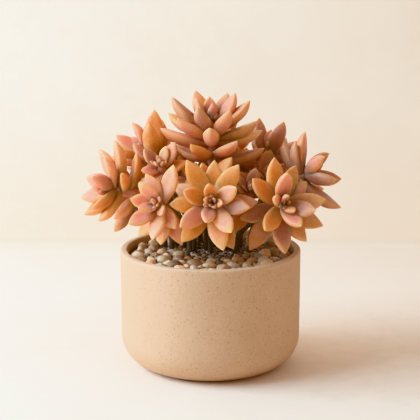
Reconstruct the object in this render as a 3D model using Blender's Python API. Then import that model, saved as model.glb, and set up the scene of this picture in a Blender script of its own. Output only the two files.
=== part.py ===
"""Potted sedum: leafy shoots of a fleshy rosette plant in a round ceramic pot.

Lengths are in millimetres and are scaled to metres when a mesh is made.
The origin is the middle of the pot's flat underside, +Z is up, and the side
that the plant turns to the viewer is -Y. Every leafy shoot is one solid, made
of a short core and its leaves; a bare stem carries it from the soil.
"""
import math

import bmesh
import bpy
import numpy as np

MM = 0.001

# Pot: a turned ceramic shell
POT_HEIGHT = 78.5
POT_RADIUS = 60.0
POT_TAPER = 0.995
POT_BASE_ROUND = 20.5
POT_WALL = 4.8
POT_FLOOR = 5.5
POT_SEGMENTS = 36
POT_SHARPEST = math.radians(40)
LIP_ROUND = 1.3
LIP_STEPS = 2
ROUND_STEPS = 4
SOIL_ROUND_STEPS = 2

# Soil and gravel that fill the pot
FIT_GAP = 0.3
MERGE = 0.0002
SOIL_TOP = 67.0
GRAVEL_BED_TOP = 74.6
PEBBLE_COUNT = 44
PEBBLE_LONG = (4.7, 5.9)
PEBBLE_FLAT = (0.62, 0.80)
PEBBLE_BROAD = 0.82
PEBBLE_CENTRE_Z = 74.3
PEBBLE_SIDES = 5
PEBBLE_RINGS = ((0.80, -0.45), (1.0, 0.05), (0.60, 0.86))
STEM_CLEAR = 2.8
STEM_HOLE_RADIUS = 2.2
HOLE_CUTTER_TOP = 86.5

# Stems
STEM_FOOT_Z = 55.0
STEM_BEND_Z = 78.6
STEM_RADIUS_FOOT = 1.8
STEM_RADIUS_TOP = 1.6
STEM_SIDES = 5
STEM_RINGS = 5
STEM_STRAIGHT = 3.0
STEM_PULL = (0.9, 0.55)
STEM_SAMPLES = 16
START_SIDE = (0.3, 1.0, 0.1)

# Leaves: width and depth follow the length
LEAF_WIDTH_SHARE = 0.20
LEAF_WIDTH_BASE = 6.3
LEAF_WIDTH_MOST = 0.50
LEAF_DEPTH_SHARE = 0.58
LEAF_WIDEST = 0.54
LEAF_WIDTH_RISE = 1.1
LEAF_WIDTH_FALL = 2.1
LEAF_DEEPEST = 0.50
LEAF_DEPTH_FALL = 3.0
LEAF_ROOT_WIDTH = 0.28
LEAF_ROOT_DEPTH = 0.42
LEAF_CURL = math.radians(24)
YOUNG_CURL = math.radians(20)
YOUNG_LENGTH = 17.5
LEAF_STATIONS = (0.0, 0.42, 0.80)
YOUNG_STATIONS = (0.0, 0.58)
LEAF_SECTION = ((1.0, 0.0), (0.0, 0.34), (-1.0, 0.0), (0.0, -0.66))

# Cores of the leafy shoots
CORE_SIDES = 6
CORE_RADIUS = 3.6
CORE_BUD_RADIUS = 1.3
CORE_TAIL = 5.0
CORE_SHOULDER = 0.4
CORE_NECK = 1.0
CORE_NECK_SHARE = 0.85
CORE_BUD = 1.6

# Room kept between shoots, tested with balls that fill each leaf
BALL_STATIONS = (0.14, 0.28, 0.40, 0.52, 0.64, 0.76, 0.87, 0.95)
BALL_ASIDE = (-0.80, -0.42, 0.0, 0.42, 0.80)
BALL_SHARE = 0.42
BALL_MARGIN = 0.8
BALL_HEIGHT = -0.16
CORE_BALLS = 6
LEAF_GAP = 0.5
CLEAR_HEIGHT = POT_HEIGHT + 0.8
CLEAR_RADIUS = POT_RADIUS + 3.0
NEAR_ENOUGH = 46.0
TRIAL_TURNS = (
    (0, 0), (0, 6), (5, 6), (-5, 6), (0, -6), (5, -6), (-5, -6), (0, 12), (5, 12), (-5, 12),
    (0, -12), (5, -12), (-5, -12), (0, 18), (10, 0), (-10, 0), (10, 12), (-10, 12),
    (10, -12), (-10, -12), (0, 24), (0, -24), (14, 18), (-14, 18),
)
TRIAL_LENGTHS = (1.0, 0.72)

# Directions are given as the viewer sees them: a clock angle, counted
# anticlockwise from the right, and a lean toward the viewer, in degrees
VIEW_TILT = math.radians(12.75)
RIGHT = np.array((1.0, 0.0, 0.0))
UP = np.array((0.0, math.sin(VIEW_TILT), math.cos(VIEW_TILT)))
TOWARD = np.array((0.0, -math.cos(VIEW_TILT), math.sin(VIEW_TILT)))
GOLDEN_ANGLE = math.radians(137.5)

# Shoots that face the viewer: the crown's place, the way the axis points, the
# foot in the soil, and each leaf as clock angle, lean, length and how far
# below the crown it grows, oldest first
SHOOTS = {
    "front": {
        "crown": (1, -36, 117), "face": (90, 80), "foot": (0, 3),
        "leaves": (
            (120, 5, 33, 6), (85, 0, 29, 8), (56, 5, 31, 6), (3, 0, 30, 8), (-64, 10, 32, 9),
            (-78, 22, 33, 5), (-130, 12, 32, 7), (181, 10, 28, 6), (-143, 29, 29, 4),
            (-6, 26, 27, 4), (-56, 38, 28, 3), (31, 34, 22, 3), (156, 30, 23, 4),
            (98, 43, 17, 2), (-110, 48, 19, 2), (0, 58, 12, 1), (150, 62, 11, 1),
            (152, -22, 31, 9), (-60, 68, 9, 0), (60, 70, 8, 0),
        ),
    },
    "right_front": {
        "crown": (46.7, -30, 114.5), "face": (27, 67), "foot": (17, 4),
        "leaves": (
            (97, 5, 32, 6), (68, 0, 29, 7), (137, 20, 27, 5), (39, -5, 25, 8), (8, 10, 30, 5),
            (-22, -10, 33, 9), (-51, 5, 29, 7), (-86, 22, 33, 6), (-124, 5, 34, 9),
            (197, 5, 27, 8), (83, 38, 26, 3), (-9, 35, 26, 3), (-48, 45, 25, 3),
            (-122, 40, 26, 3), (140, 60, 15, 1), (62, 60, 13, 1), (-30, 55, 14, 1),
            (200, 70, 8, 0), (-80, 70, 8, 0),
        ),
    },
    "left_front": {
        "crown": (-34.5, -32, 115.5), "face": (163, 56), "foot": (-14, 4),
        "leaves": (
            (71, 15, 28, 5), (115, 5, 22, 5), (135, 5, 21, 6), (170, 15, 20, 4),
            (213, 20, 25, 4), (230, -20, 28, 8), (267, 10, 26, 7), (-65, -1, 29, 7),
            (-55, 14, 20, 4), (260, 30, 26, 4), (128, 35, 20, 2), (197, 45, 17, 1),
            (-68, 60, 14, 2), (150, 65, 9, 0), (60, 60, 9, 0), (230, 60, 10, 0),
        ),
    },
    "top": {
        "crown": (0.5, 8, 161.5), "face": (92, 14), "foot": (2, 19),
        "leaves": (
            (14, 0, 36, 26), (24, 50, 28, 21), (156, 52, 25, 22), (175, -30, 28, 24),
            (-20, -50, 28, 24), (60, -60, 28, 20), (140, -55, 28, 18), (95, 65, 24, 15),
            (164, 5, 36, 14), (13, -5, 35, 13), (155, 35, 31, 9), (21, 10, 33, 11),
            (52, 45, 28, 9), (139, 5, 35, 6), (153, -20, 35, 8), (39, 0, 33, 6),
            (120, 45, 27, 8), (112, -15, 29, 4), (57, -5, 30, 5), (66, -25, 30, 4),
            (118, 10, 22, 3), (95, -10, 19, 1), (88, 20, 14, 1), (100, 30, 9, 0),
        ),
    },
    "left": {
        "crown": (-65.5, -6, 120), "face": (172, 18), "foot": (-26, 11),
        "leaves": (
            (228, -15, 25, 18), (80, 5, 26, 13), (235, 10, 26, 7), (96, 0, 33, 6),
            (95, 62, 21, 9), (216, 0, 28, 5), (113, -15, 30, 3), (157, -25, 23, 2),
            (195, -15, 24, 2), (222, 35, 24, 3), (105, 30, 24, 2), (149, 50, 22, 1),
            (50, -25, 22, 9), (175, 30, 14, 0), (150, 20, 12, 0), (200, 45, 12, 0),
        ),
    },
    "right": {
        "crown": (64, 0, 128.5), "face": (16, 16), "foot": (27, 13),
        "leaves": (
            (-37, 5, 35, 6), (115, -20, 27, 5), (-70, -30, 26, 8), (102, 20, 24, 4),
            (88, 5, 29, 3), (-4, -15, 27, 3), (42, -5, 22, 2), (-10, 35, 25, 2),
            (44, 45, 22, 1), (30, 30, 13, 0), (5, 50, 12, 0), (60, 20, 12, 0),
        ),
    },
    "left_mid": {
        "crown": (-32.2, -10, 136), "face": (105, 50), "foot": (-11, 12),
        "leaves": (
            (133, 20, 18, 3), (183, 25, 15, 4), (235, 30, 17, 5), (20, 10, 18, 5),
            (64, 15, 20, 3), (77, 15, 14, 1), (150, 60, 9, 0), (100, 60, 9, 0),
            (203, 0, 19, 7), (60, 70, 8, 0),
        ),
    },
    "left_tall": {
        "crown": (-37.5, 10, 140), "face": (95, 20), "foot": (-18, 18),
        "leaves": (
            (92, -5, 34, 4), (82, -25, 30, 3), (98, 30, 25, 2), (60, -20, 20, 5),
            (140, -24, 20, 5), (120, 20, 13, 1), (80, 10, 12, 0),
        ),
    },
    "right_up": {
        "crown": (40, 24, 140), "face": (70, 10), "foot": (20, 20),
        "leaves": (
            (102, -20, 29, 4), (66, 15, 25, 3), (120, -40, 22, 5), (30, -20, 25, 5),
            (10, 10, 24, 6), (45, -40, 24, 4), (168, -15, 18, 5), (85, -30, 18, 1),
            (80, 0, 13, 0),
        ),
    },
    "left_back": {
        "crown": (-45.5, 26, 139.5), "face": (135, 5), "foot": (-23, 25),
        "leaves": (
            (180, -10, 27, 6), (149, -10, 25, 3), (166, 11, 24, 4), (114, 5, 22, 2),
            (90, -15, 18, 1), (135, -40, 22, 4), (200, -40, 24, 6), (130, 0, 12, 0),
        ),
    },
    "mid_right": {
        "crown": (26, -8, 118), "face": (80, 40), "foot": (9, 11),
        "leaves": (
            (-115, 0, 26, 5), (77, 10, 19, 3), (119, 15, 16, 3), (150, 30, 13, 2),
            (30, 10, 18, 4), (80, 50, 9, 0),
        ),
    },
    "mid": {
        "crown": (-2.3, -12, 126), "face": (90, 45), "foot": (-3, 12),
        "leaves": (
            (132, 0, 25, 5), (48, 5, 25, 4), (165, -5, 22, 6), (102, 25, 15, 2),
            (168, 20, 15, 4), (15, 0, 20, 5), (197, -12, 24, 8), (85, 50, 9, 0),
        ),
    },
    "right_mid": {
        "crown": (37, 9, 123), "face": (80, 30), "foot": (18, 12),
        "leaves": (
            (94, 10, 22, 3), (76, -16, 24, 4), (48, -24, 22, 4), (140, 10, 14, 3),
            (85, 20, 10, 0),
        ),
    },
}

# Shoots behind and between: how many leaves each has and how long its oldest
# one is. The leaves follow the golden angle from oldest to youngest
RULE_SHOOTS = {
    "back": {"crown": (-4, 39, 114), "face": (92, -66), "foot": (-7, 31), "count": 11, "longest": 30},
    "back_right": {"crown": (32, 45, 122), "face": (55, -50), "foot": (9, 38), "count": 11, "longest": 30},
    "back_left": {"crown": (-33, 47, 121), "face": (125, -50), "foot": (-12, 38), "count": 11, "longest": 30},
    "back_high": {"crown": (6, 34, 150), "face": (80, -24), "foot": (4, 27), "count": 11, "longest": 30},
    "side_right": {"crown": (58, 29, 107), "face": (0, -35), "foot": (33, 24), "count": 11, "longest": 30},
    "side_left": {"crown": (-57, 28, 107), "face": (180, -35), "foot": (-31, 19), "count": 11, "longest": 30},
    "heart_left": {"crown": (-19, 20, 134), "face": (100, 12), "foot": (-13, 25), "count": 10, "longest": 25},
    "heart_right": {"crown": (22, 24, 132), "face": (84, 12), "foot": (12, 29), "count": 10, "longest": 25},
}
RULE_POLAR = (math.radians(86), math.radians(16))
RULE_SHORTEST = 10.0
RULE_SHORTENING = 1.6
RULE_DEPTH = 9.0
RULE_TURN = math.radians(40)
RULE_REFERENCE = (0.0, 0.3, 1.0)

COLOURS = {
    "pot": ((0.72, 0.48, 0.31), 0.75),
    "soil": ((0.05, 0.035, 0.025), 0.95),
    "gravel": ((0.27, 0.19, 0.13), 0.55),
    "stem": ((0.23, 0.22, 0.06), 0.55),
    "leaf": ((0.66, 0.25, 0.12), 0.42),
}


def unit(vector):
    """The vector at length one."""
    return vector / np.linalg.norm(vector)


def direction(clock, lean):
    """The direction seen at a clock angle, leaning toward the viewer."""
    c, l = math.radians(clock), math.radians(lean)
    return math.cos(l) * (math.cos(c) * RIGHT + math.sin(c) * UP) + math.sin(l) * TOWARD


def seen_angles(d):
    """The clock angle and lean, in degrees, of a direction."""
    return math.degrees(math.atan2(d @ UP, d @ RIGHT)), math.degrees(math.asin(d @ TOWARD))


def rule_leaves(axis, turn, count, longest):
    """Leaf rows by the golden angle about the axis, from flat old leaves to steep young ones."""
    side = unit(np.cross(axis, RULE_REFERENCE))
    other = np.cross(axis, side)
    rows = []
    for i in range(count):
        t = i / (count - 1)
        polar = RULE_POLAR[0] + (RULE_POLAR[1] - RULE_POLAR[0]) * t
        around = turn + GOLDEN_ANGLE * i
        outward = math.cos(around) * side + math.sin(around) * other
        d = math.cos(polar) * axis + math.sin(polar) * outward
        length = longest + (RULE_SHORTEST - longest) * t ** RULE_SHORTENING
        rows.append((*seen_angles(d), length, RULE_DEPTH * (1 - t)))
    return rows


def all_shoots():
    """Every shoot with its leaf rows, the ones that face the viewer first."""
    shoots = {name: dict(shoot) for name, shoot in SHOOTS.items()}
    for i, (name, shoot) in enumerate(RULE_SHOOTS.items()):
        rows = rule_leaves(direction(*shoot["face"]), RULE_TURN * i, shoot["count"], shoot["longest"])
        shoots[name] = dict(shoot, leaves=rows)
    for shoot in shoots.values():
        shoot["axis"] = direction(*shoot["face"])
        shoot["depth"] = max(row[3] for row in shoot["leaves"])
    return shoots


def width_profile(t):
    """Leaf width from root to tip as a share of the widest: a quarter sine, then a pointed fall."""
    rise = np.sin(0.5 * math.pi * np.clip(t / LEAF_WIDEST, 0, 1)) ** LEAF_WIDTH_RISE
    fall = np.clip((t - LEAF_WIDEST) / (1 - LEAF_WIDEST), 0, 1) ** LEAF_WIDTH_FALL
    return np.where(t < LEAF_WIDEST, LEAF_ROOT_WIDTH + (1 - LEAF_ROOT_WIDTH) * rise, 1 - fall)


def depth_profile(t):
    """Leaf depth from root to tip as a share of the deepest."""
    rise = np.sin(0.5 * math.pi * np.clip(t / LEAF_DEEPEST, 0, 1))
    fall = np.clip((t - LEAF_DEEPEST) / (1 - LEAF_DEEPEST), 0, 1) ** LEAF_DEPTH_FALL
    return np.where(t < LEAF_DEEPEST, LEAF_ROOT_DEPTH + (1 - LEAF_ROOT_DEPTH) * rise, 1 - fall)


class Leaf:
    """A fleshy leaf: its mid-line is an arc in the plane of the shoot's axis."""

    def __init__(self, shoot, row):
        clock, lean, self.length, down = row
        axis = shoot["axis"]
        self.root = np.array(shoot["crown"], float) - axis * down
        self.along = direction(clock, lean)
        self.upper = unit(axis - (axis @ self.along) * self.along)
        self.side = np.cross(self.along, self.upper)
        self.width = min(LEAF_WIDTH_MOST * self.length, LEAF_WIDTH_SHARE * self.length + LEAF_WIDTH_BASE)
        self.depth = LEAF_DEPTH_SHARE * self.width
        self.curl = LEAF_CURL if self.length > YOUNG_LENGTH else YOUNG_CURL

    def points(self, t, x, z):
        """Points at t along the mid-line, x half-widths to the side and z depths above it."""
        angle = self.curl * (t - 0.5)
        half = self.curl / 2
        height = z * depth_profile(t) * self.depth
        along = self.length * (np.sin(angle) + math.sin(half)) / self.curl - height * np.sin(angle)
        rise = self.length * (math.cos(half) - np.cos(angle)) / self.curl + height * np.cos(angle)
        aside = x * width_profile(t) * self.width / 2
        return (
            self.root
            + along[..., None] * self.along
            + rise[..., None] * self.upper
            + aside[..., None] * self.side
        )

    def balls(self):
        """Balls that fill the leaf, as centres and radii."""
        t = np.repeat(BALL_STATIONS, len(BALL_ASIDE))
        x = np.tile(BALL_ASIDE, len(BALL_STATIONS))
        radius = BALL_SHARE * self.depth * depth_profile(t) * np.sqrt(1 - BALL_MARGIN * x * x)
        return self.points(t, x, np.full(len(t), BALL_HEIGHT)), radius

    def mesh(self):
        """Vertices and faces of the closed leaf, in rings from root to tip."""
        stations = LEAF_STATIONS if self.length > YOUNG_LENGTH else YOUNG_STATIONS
        sides = len(LEAF_SECTION)
        t = np.repeat(stations, sides)
        x, z = np.tile(np.array(LEAF_SECTION).T, len(stations))
        tip = self.points(np.ones(1), np.zeros(1), np.zeros(1))
        vertices = np.vstack((self.points(t, x, z), tip))
        return vertices, tube_faces(len(stations), sides, pointed=True)


def tube_faces(rings, sides, pointed=False):
    """Triangles of a closed tube, wound so that they face out, ending in a cap or a tip vertex."""
    faces = [tuple(range(sides))]
    for ring in range(rings - 1):
        for j in range(sides):
            a, b = ring * sides + j, ring * sides + (j + 1) % sides
            faces += [(a, b + sides, b), (a, a + sides, b + sides)]
    last = (rings - 1) * sides
    if pointed:
        faces += [(last + j, rings * sides, last + (j + 1) % sides) for j in range(sides)]
    else:
        faces.append(tuple(last + j for j in reversed(range(sides))))
    return faces


def stem_path(shoot, t):
    """Points on the bare stem: upright where it leaves the soil, along the axis where it ends."""
    top = np.array(shoot["crown"], float) - shoot["axis"] * (shoot["depth"] + CORE_TAIL + FIT_GAP)
    end = top - shoot["axis"] * STEM_STRAIGHT
    foot = np.array((*shoot["foot"], STEM_BEND_Z))
    reach = np.linalg.norm(end - foot)
    t = np.asarray(t)[:, None]
    start_pull = reach * STEM_PULL[0] * np.array((0.0, 0.0, 1.0))
    end_pull = reach * STEM_PULL[1] * shoot["axis"]
    curve = (
        (2 * t ** 3 - 3 * t ** 2 + 1) * foot
        + (t ** 3 - 2 * t ** 2 + t) * start_pull
        + (3 * t ** 2 - 2 * t ** 3) * end
        + (t ** 3 - t ** 2) * end_pull
    )
    return np.vstack((curve, top))


def swept_rings(path, radii, sides):
    """Rings of points round a path, each square to it, kept from twisting."""
    tangents = np.gradient(path, axis=0)
    side = unit(np.cross(tangents[0], START_SIDE))
    around = 2 * math.pi * np.arange(sides) / sides
    rings = []
    for point, tangent, radius in zip(path, tangents, radii):
        forward = unit(tangent)
        side = unit(side - (side @ forward) * forward)
        other = np.cross(forward, side)
        spokes = np.outer(np.cos(around), side) - np.outer(np.sin(around), other)
        rings.append(point + radius * spokes)
    return np.vstack(rings)


def trials(row):
    """The leaf as its row gives it, then turned a little, then the same for a shorter one."""
    clock, lean, length, down = row
    for share in TRIAL_LENGTHS:
        for turn in TRIAL_TURNS:
            yield (clock + turn[0], lean + turn[1], length * share, down)


def place_leaves(shoots):
    """Each shoot's leaves, turned or shortened where they would cross another shoot, or left off."""
    centres, radii, owners = [], [], []
    for name, shoot in shoots.items():
        core = np.linspace(0, shoot["depth"] + CORE_TAIL, CORE_BALLS)[:, None]
        stem = stem_path(shoot, np.linspace(0, 1, STEM_SAMPLES))
        centres += [np.array(shoot["crown"], float) - core * shoot["axis"], stem]
        radii += [np.full(len(core), CORE_RADIUS), np.full(len(stem), STEM_RADIUS_FOOT)]
        owners += [name] * len(core) + [name + " stem"] * len(stem)
    centres, radii, owners = np.vstack(centres), np.concatenate(radii), np.array(owners)
    placed = {}
    for name, shoot in shoots.items():
        placed[name] = []
        for row in shoot["leaves"]:
            for trial in trials(row):
                leaf = Leaf(shoot, trial)
                points, sizes = leaf.balls()
                over_pot = np.hypot(points[:, 0], points[:, 1]) < CLEAR_RADIUS
                if (over_pot & (points[:, 2] - sizes < CLEAR_HEIGHT)).any():
                    continue
                near = (owners != name) & (np.linalg.norm(centres - leaf.root, axis=1) < NEAR_ENOUGH)
                apart = np.linalg.norm(points[:, None] - centres[None, near], axis=2)
                room = apart - sizes[:, None] - radii[None, near]
                own_stem = owners[near] == name + " stem"
                room[:len(BALL_ASIDE), own_stem] = LEAF_GAP * 2
                if room.min(initial=LEAF_GAP * 2) > LEAF_GAP:
                    placed[name].append(leaf)
                    centres = np.vstack((centres, points))
                    radii = np.concatenate((radii, sizes))
                    owners = np.concatenate((owners, [name] * len(points)))
                    break
    return placed


def clear_scene():
    """Remove every object, so that the script starts from nothing."""
    for obj in list(bpy.data.objects):
        bpy.data.objects.remove(obj, do_unlink=True)


def make_material(name):
    """A plain material with the part's colour and roughness."""
    material = bpy.data.materials.new(name)
    material.use_nodes = True
    shader = material.node_tree.nodes["Principled BSDF"]
    colour, roughness = COLOURS[name]
    shader.inputs["Base Color"].default_value = (*colour, 1.0)
    shader.inputs["Roughness"].default_value = roughness
    shader.inputs["Metallic"].default_value = 0.0
    material.diffuse_color = (*colour, 1.0)
    return material


def make_object(name, vertices, faces, material=None):
    """An object from points in millimetres."""
    mesh = bpy.data.meshes.new(name)
    mesh.from_pydata((np.asarray(vertices) * MM).tolist(), [], faces)
    mesh.update()
    obj = bpy.data.objects.new(name, mesh)
    bpy.context.scene.collection.objects.link(obj)
    if material:
        mesh.materials.append(material)
    return obj


def join_with(obj, tools, operation):
    """Apply one Boolean between the object and a collection of tools, then remove the tools."""
    collection = bpy.data.collections.new("tools")
    bpy.context.scene.collection.children.link(collection)
    for tool in tools:
        bpy.context.scene.collection.objects.unlink(tool)
        collection.objects.link(tool)
    modifier = obj.modifiers.new("fuse", "BOOLEAN")
    modifier.operation = operation
    modifier.operand_type = "COLLECTION"
    modifier.collection = collection
    graph = bpy.context.evaluated_depsgraph_get()
    fused = bpy.data.meshes.new_from_object(obj.evaluated_get(graph))
    obj.modifiers.clear()
    obj.data = fused
    for tool in list(tools):
        bpy.data.objects.remove(tool, do_unlink=True)
    bpy.data.collections.remove(collection)
    keep_main_body(obj)


def keep_main_body(obj):
    """Drop loose scraps and fill sealed hollows by keeping the largest connected shell."""
    shape = bmesh.new()
    shape.from_mesh(obj.data)
    bmesh.ops.remove_doubles(shape, verts=shape.verts, dist=MERGE * MM)
    bmesh.ops.triangulate(shape, faces=shape.faces)
    unseen = set(shape.verts)
    shells = []
    while unseen:
        front = [unseen.pop()]
        shell = set(front)
        while front:
            for edge in front.pop().link_edges:
                for vertex in edge.verts:
                    if vertex in unseen:
                        unseen.remove(vertex)
                        shell.add(vertex)
                        front.append(vertex)
        shells.append(shell)
    shells.sort(key=len)
    loose = [vertex for shell in shells[:-1] for vertex in shell]
    bmesh.ops.delete(shape, geom=loose, context="VERTS")
    shape.to_mesh(obj.data)
    shape.free()


def pot_outer_radius(z):
    """The outer radius at a height above the rounded foot."""
    share = (z - POT_BASE_ROUND) / (POT_HEIGHT - POT_BASE_ROUND)
    return POT_RADIUS * (POT_TAPER + (1 - POT_TAPER) * max(0.0, share))


def arc(centre_r, centre_z, radius, start, end, steps):
    """Profile points on an arc, from a start angle to an end angle in degrees."""
    angles = np.radians(np.linspace(start, end, steps + 1))
    return [(centre_r + radius * math.cos(a), centre_z + radius * math.sin(a)) for a in angles]


def pot_outer_profile():
    """Foot and wall from the middle of the underside to below the lip."""
    side = pot_outer_radius(POT_BASE_ROUND)
    foot = arc(side - POT_BASE_ROUND, POT_BASE_ROUND, POT_BASE_ROUND, -90, 0, ROUND_STEPS)
    return [(0.0, 0.0)] + foot


def inner_profile(steps, gap=0.0):
    """The pot's inside from the wall down to the middle of its floor, or what fills it at a gap."""
    inner_round = POT_BASE_ROUND - POT_WALL
    low = pot_outer_radius(POT_BASE_ROUND) - POT_WALL
    corner = arc(low - inner_round, POT_FLOOR + inner_round, inner_round - gap, 0, -90, steps)
    return corner + [(0.0, POT_FLOOR + gap)]


def inner_radius(z):
    """The inner radius of the straight wall at a height."""
    return pot_outer_radius(z) - POT_WALL


def turned(name, profile, material):
    """A closed solid turned about the Z axis from (radius, height) points, axis to axis."""
    around = 2 * math.pi * np.arange(POT_SEGMENTS) / POT_SEGMENTS
    rings = [(r, z) for r, z in profile if r > 0]
    vertices = [(r * math.cos(a), r * math.sin(a), z) for r, z in rings for a in around]
    faces = tube_faces(len(rings), POT_SEGMENTS)
    obj = make_object(name, vertices, faces, material)
    shape = bmesh.new()
    shape.from_mesh(obj.data)
    bmesh.ops.recalc_face_normals(shape, faces=shape.faces)
    shape.to_mesh(obj.data)
    shape.free()
    return obj


def build_pot(material):
    """The pot: rounded foot, slightly tapered wall and a flat lip with rounded edges."""
    low = POT_HEIGHT - LIP_ROUND
    lip_outside = arc(POT_RADIUS - LIP_ROUND, low, LIP_ROUND, 0, 90, LIP_STEPS)
    lip_inside = arc(POT_RADIUS - POT_WALL + LIP_ROUND, low, LIP_ROUND, 90, 180, LIP_STEPS)
    pot = turned("pot", pot_outer_profile() + lip_outside + lip_inside + inner_profile(ROUND_STEPS), material)
    pot.data.shade_smooth()
    pot.data.set_sharp_from_angle(angle=POT_SHARPEST)
    return pot


def stem_cutters(shoots):
    """Upright round cutters for the holes that the stems stand in."""
    cutters = []
    for name, shoot in shoots.items():
        path = np.array(((*shoot["foot"], STEM_FOOT_Z - FIT_GAP), (*shoot["foot"], HOLE_CUTTER_TOP)))
        vertices = swept_rings(path, (STEM_HOLE_RADIUS, STEM_HOLE_RADIUS), STEM_SIDES)
        cutters.append(make_object("hole " + name, vertices, tube_faces(2, STEM_SIDES)))
    return cutters


def build_soil(shoots, material):
    """Potting soil that fills the pot below the gravel, with a hole for each stem."""
    profile = [(inner_radius(SOIL_TOP) - FIT_GAP, SOIL_TOP)] + inner_profile(SOIL_ROUND_STEPS, FIT_GAP)
    soil = turned("soil", profile, material)
    join_with(soil, stem_cutters(shoots), "DIFFERENCE")
    return soil


def pebble_points(turn):
    """Points of a blunt pebble of radius one: rings from its sunk underside to its flat top."""
    around = turn + 2 * math.pi * np.arange(PEBBLE_SIDES) / PEBBLE_SIDES
    ring = np.stack((np.cos(around), -np.sin(around)), 1)
    return np.vstack([np.column_stack((r * ring, np.full(PEBBLE_SIDES, z))) for r, z in PEBBLE_RINGS])


def build_gravel(shoots, material):
    """A bed of gravel with pebbles sunk in it on a sunflower spiral, with a hole for each stem."""
    draw = np.random.default_rng(11)
    bottom, top = SOIL_TOP + FIT_GAP, GRAVEL_BED_TOP
    profile = [(inner_radius(top) - FIT_GAP, top), (inner_radius(bottom) - FIT_GAP, bottom)]
    gravel = turned("gravel", profile, material)
    reach = inner_radius(top) - 2 * FIT_GAP - PEBBLE_LONG[1]
    feet = np.array([shoot["foot"] for shoot in shoots.values()])
    pebbles = []
    for i in range(PEBBLE_COUNT):
        radius = reach * math.sqrt((i + 0.5) / PEBBLE_COUNT)
        angle = GOLDEN_ANGLE * i
        x, y = radius * math.cos(angle), radius * math.sin(angle)
        long, flat, turn = draw.uniform(*PEBBLE_LONG), draw.uniform(*PEBBLE_FLAT), draw.uniform(0, math.pi)
        if np.linalg.norm(feet - (x, y), axis=1).min() < STEM_CLEAR:
            continue
        points = pebble_points(turn) * (long, long * PEBBLE_BROAD, long * flat)
        c, s = math.cos(turn), math.sin(turn)
        points = points @ np.array(((c, s, 0), (-s, c, 0), (0, 0, 1))) + (x, y, PEBBLE_CENTRE_Z)
        pebbles.append(make_object("pebble", points, tube_faces(len(PEBBLE_RINGS), PEBBLE_SIDES)))
    join_with(gravel, pebbles, "UNION")
    join_with(gravel, stem_cutters(shoots), "DIFFERENCE")
    return gravel


def build_stem(name, shoot, material):
    """A bare stem from its foot in the soil to just below the leafy core."""
    rise = stem_path(shoot, np.linspace(0, 1, STEM_RINGS))
    path = np.vstack(((*shoot["foot"], STEM_FOOT_Z), rise))
    radii = np.linspace(STEM_RADIUS_FOOT, STEM_RADIUS_TOP, len(path))
    vertices = swept_rings(path, radii, STEM_SIDES)
    return make_object("stem_" + name, vertices, tube_faces(len(path), STEM_SIDES), material)


def build_rosette(name, shoot, leaves, material):
    """The core of a leafy shoot, from its tail on the stem to its bud, fused with its leaves."""
    crown = np.array(shoot["crown"], float)
    lengths = (shoot["depth"] + CORE_TAIL, shoot["depth"] + CORE_SHOULDER, CORE_NECK, -CORE_BUD)
    radii = (STEM_RADIUS_TOP, CORE_RADIUS, CORE_RADIUS * CORE_NECK_SHARE, CORE_BUD_RADIUS)
    path = np.array([crown - shoot["axis"] * down for down in lengths])
    vertices = swept_rings(path, radii, CORE_SIDES)
    core = make_object("rosette_" + name, vertices, tube_faces(len(path), CORE_SIDES), material)
    join_with(core, [make_object("leaf", *leaf.mesh()) for leaf in leaves], "UNION")
    return core


def main():
    clear_scene()
    materials = {name: make_material(name) for name in COLOURS}
    shoots = all_shoots()
    placed = place_leaves(shoots)
    build_pot(materials["pot"])
    build_soil(shoots, materials["soil"])
    build_gravel(shoots, materials["gravel"])
    for name, shoot in shoots.items():
        build_stem(name, shoot, materials["stem"])
        build_rosette(name, shoot, placed[name], materials["leaf"])


main()
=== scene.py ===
"""Potted sedum: the finish of every surface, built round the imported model.

Lengths are in millimetres, as in the model's own script, and are scaled to
metres when a mesh is made. The pot's height and radius are read from the
frame. Shapes are surfaces of two parameters, worked out as whole arrays:
every one is a tube of rings that a single point closes at each end.
"""
import math

import bpy
import numpy as np
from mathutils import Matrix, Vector


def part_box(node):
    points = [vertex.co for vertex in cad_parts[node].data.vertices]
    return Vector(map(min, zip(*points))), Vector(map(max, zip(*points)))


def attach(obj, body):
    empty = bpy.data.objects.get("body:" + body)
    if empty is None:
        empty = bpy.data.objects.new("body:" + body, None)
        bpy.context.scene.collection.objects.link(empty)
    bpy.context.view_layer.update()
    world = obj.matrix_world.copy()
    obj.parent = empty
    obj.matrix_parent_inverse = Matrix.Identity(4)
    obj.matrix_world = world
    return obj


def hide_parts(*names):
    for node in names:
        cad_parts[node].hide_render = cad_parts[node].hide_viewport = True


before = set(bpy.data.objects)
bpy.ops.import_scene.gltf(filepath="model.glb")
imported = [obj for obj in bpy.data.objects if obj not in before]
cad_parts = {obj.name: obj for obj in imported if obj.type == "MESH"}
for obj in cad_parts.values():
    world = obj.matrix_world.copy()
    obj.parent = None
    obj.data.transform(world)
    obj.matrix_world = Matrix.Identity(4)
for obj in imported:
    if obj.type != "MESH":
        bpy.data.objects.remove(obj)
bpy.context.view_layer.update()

MM = 0.001

# Pot, read from the frame, and what fills it
POT_RADIUS = round(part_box("pot")[1].x / MM, 2)
POT_HEIGHT = round(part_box("pot")[1].z / MM, 2)
POT_TAPER = 0.995
POT_BASE_ROUND = 20.5
POT_WALL = 4.8
POT_FLOOR = 5.5
LIP_ROUND = 1.3
POT_AROUND = 192
FOOT_STEPS = 22
LIP_STEPS = 9
CORNER_STEPS = 10
RUN_STEPS = (5, 24, 12, 3)
POT_WOBBLE = 0.12
SECOND_WOBBLE = 0.6
WOBBLE_TURN = 1.1
WOBBLE_SLANT = 4
SOIL_TOP = 67.0
GRAVEL_BED_TOP = 74.6
FIT_GAP = 0.3

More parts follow.
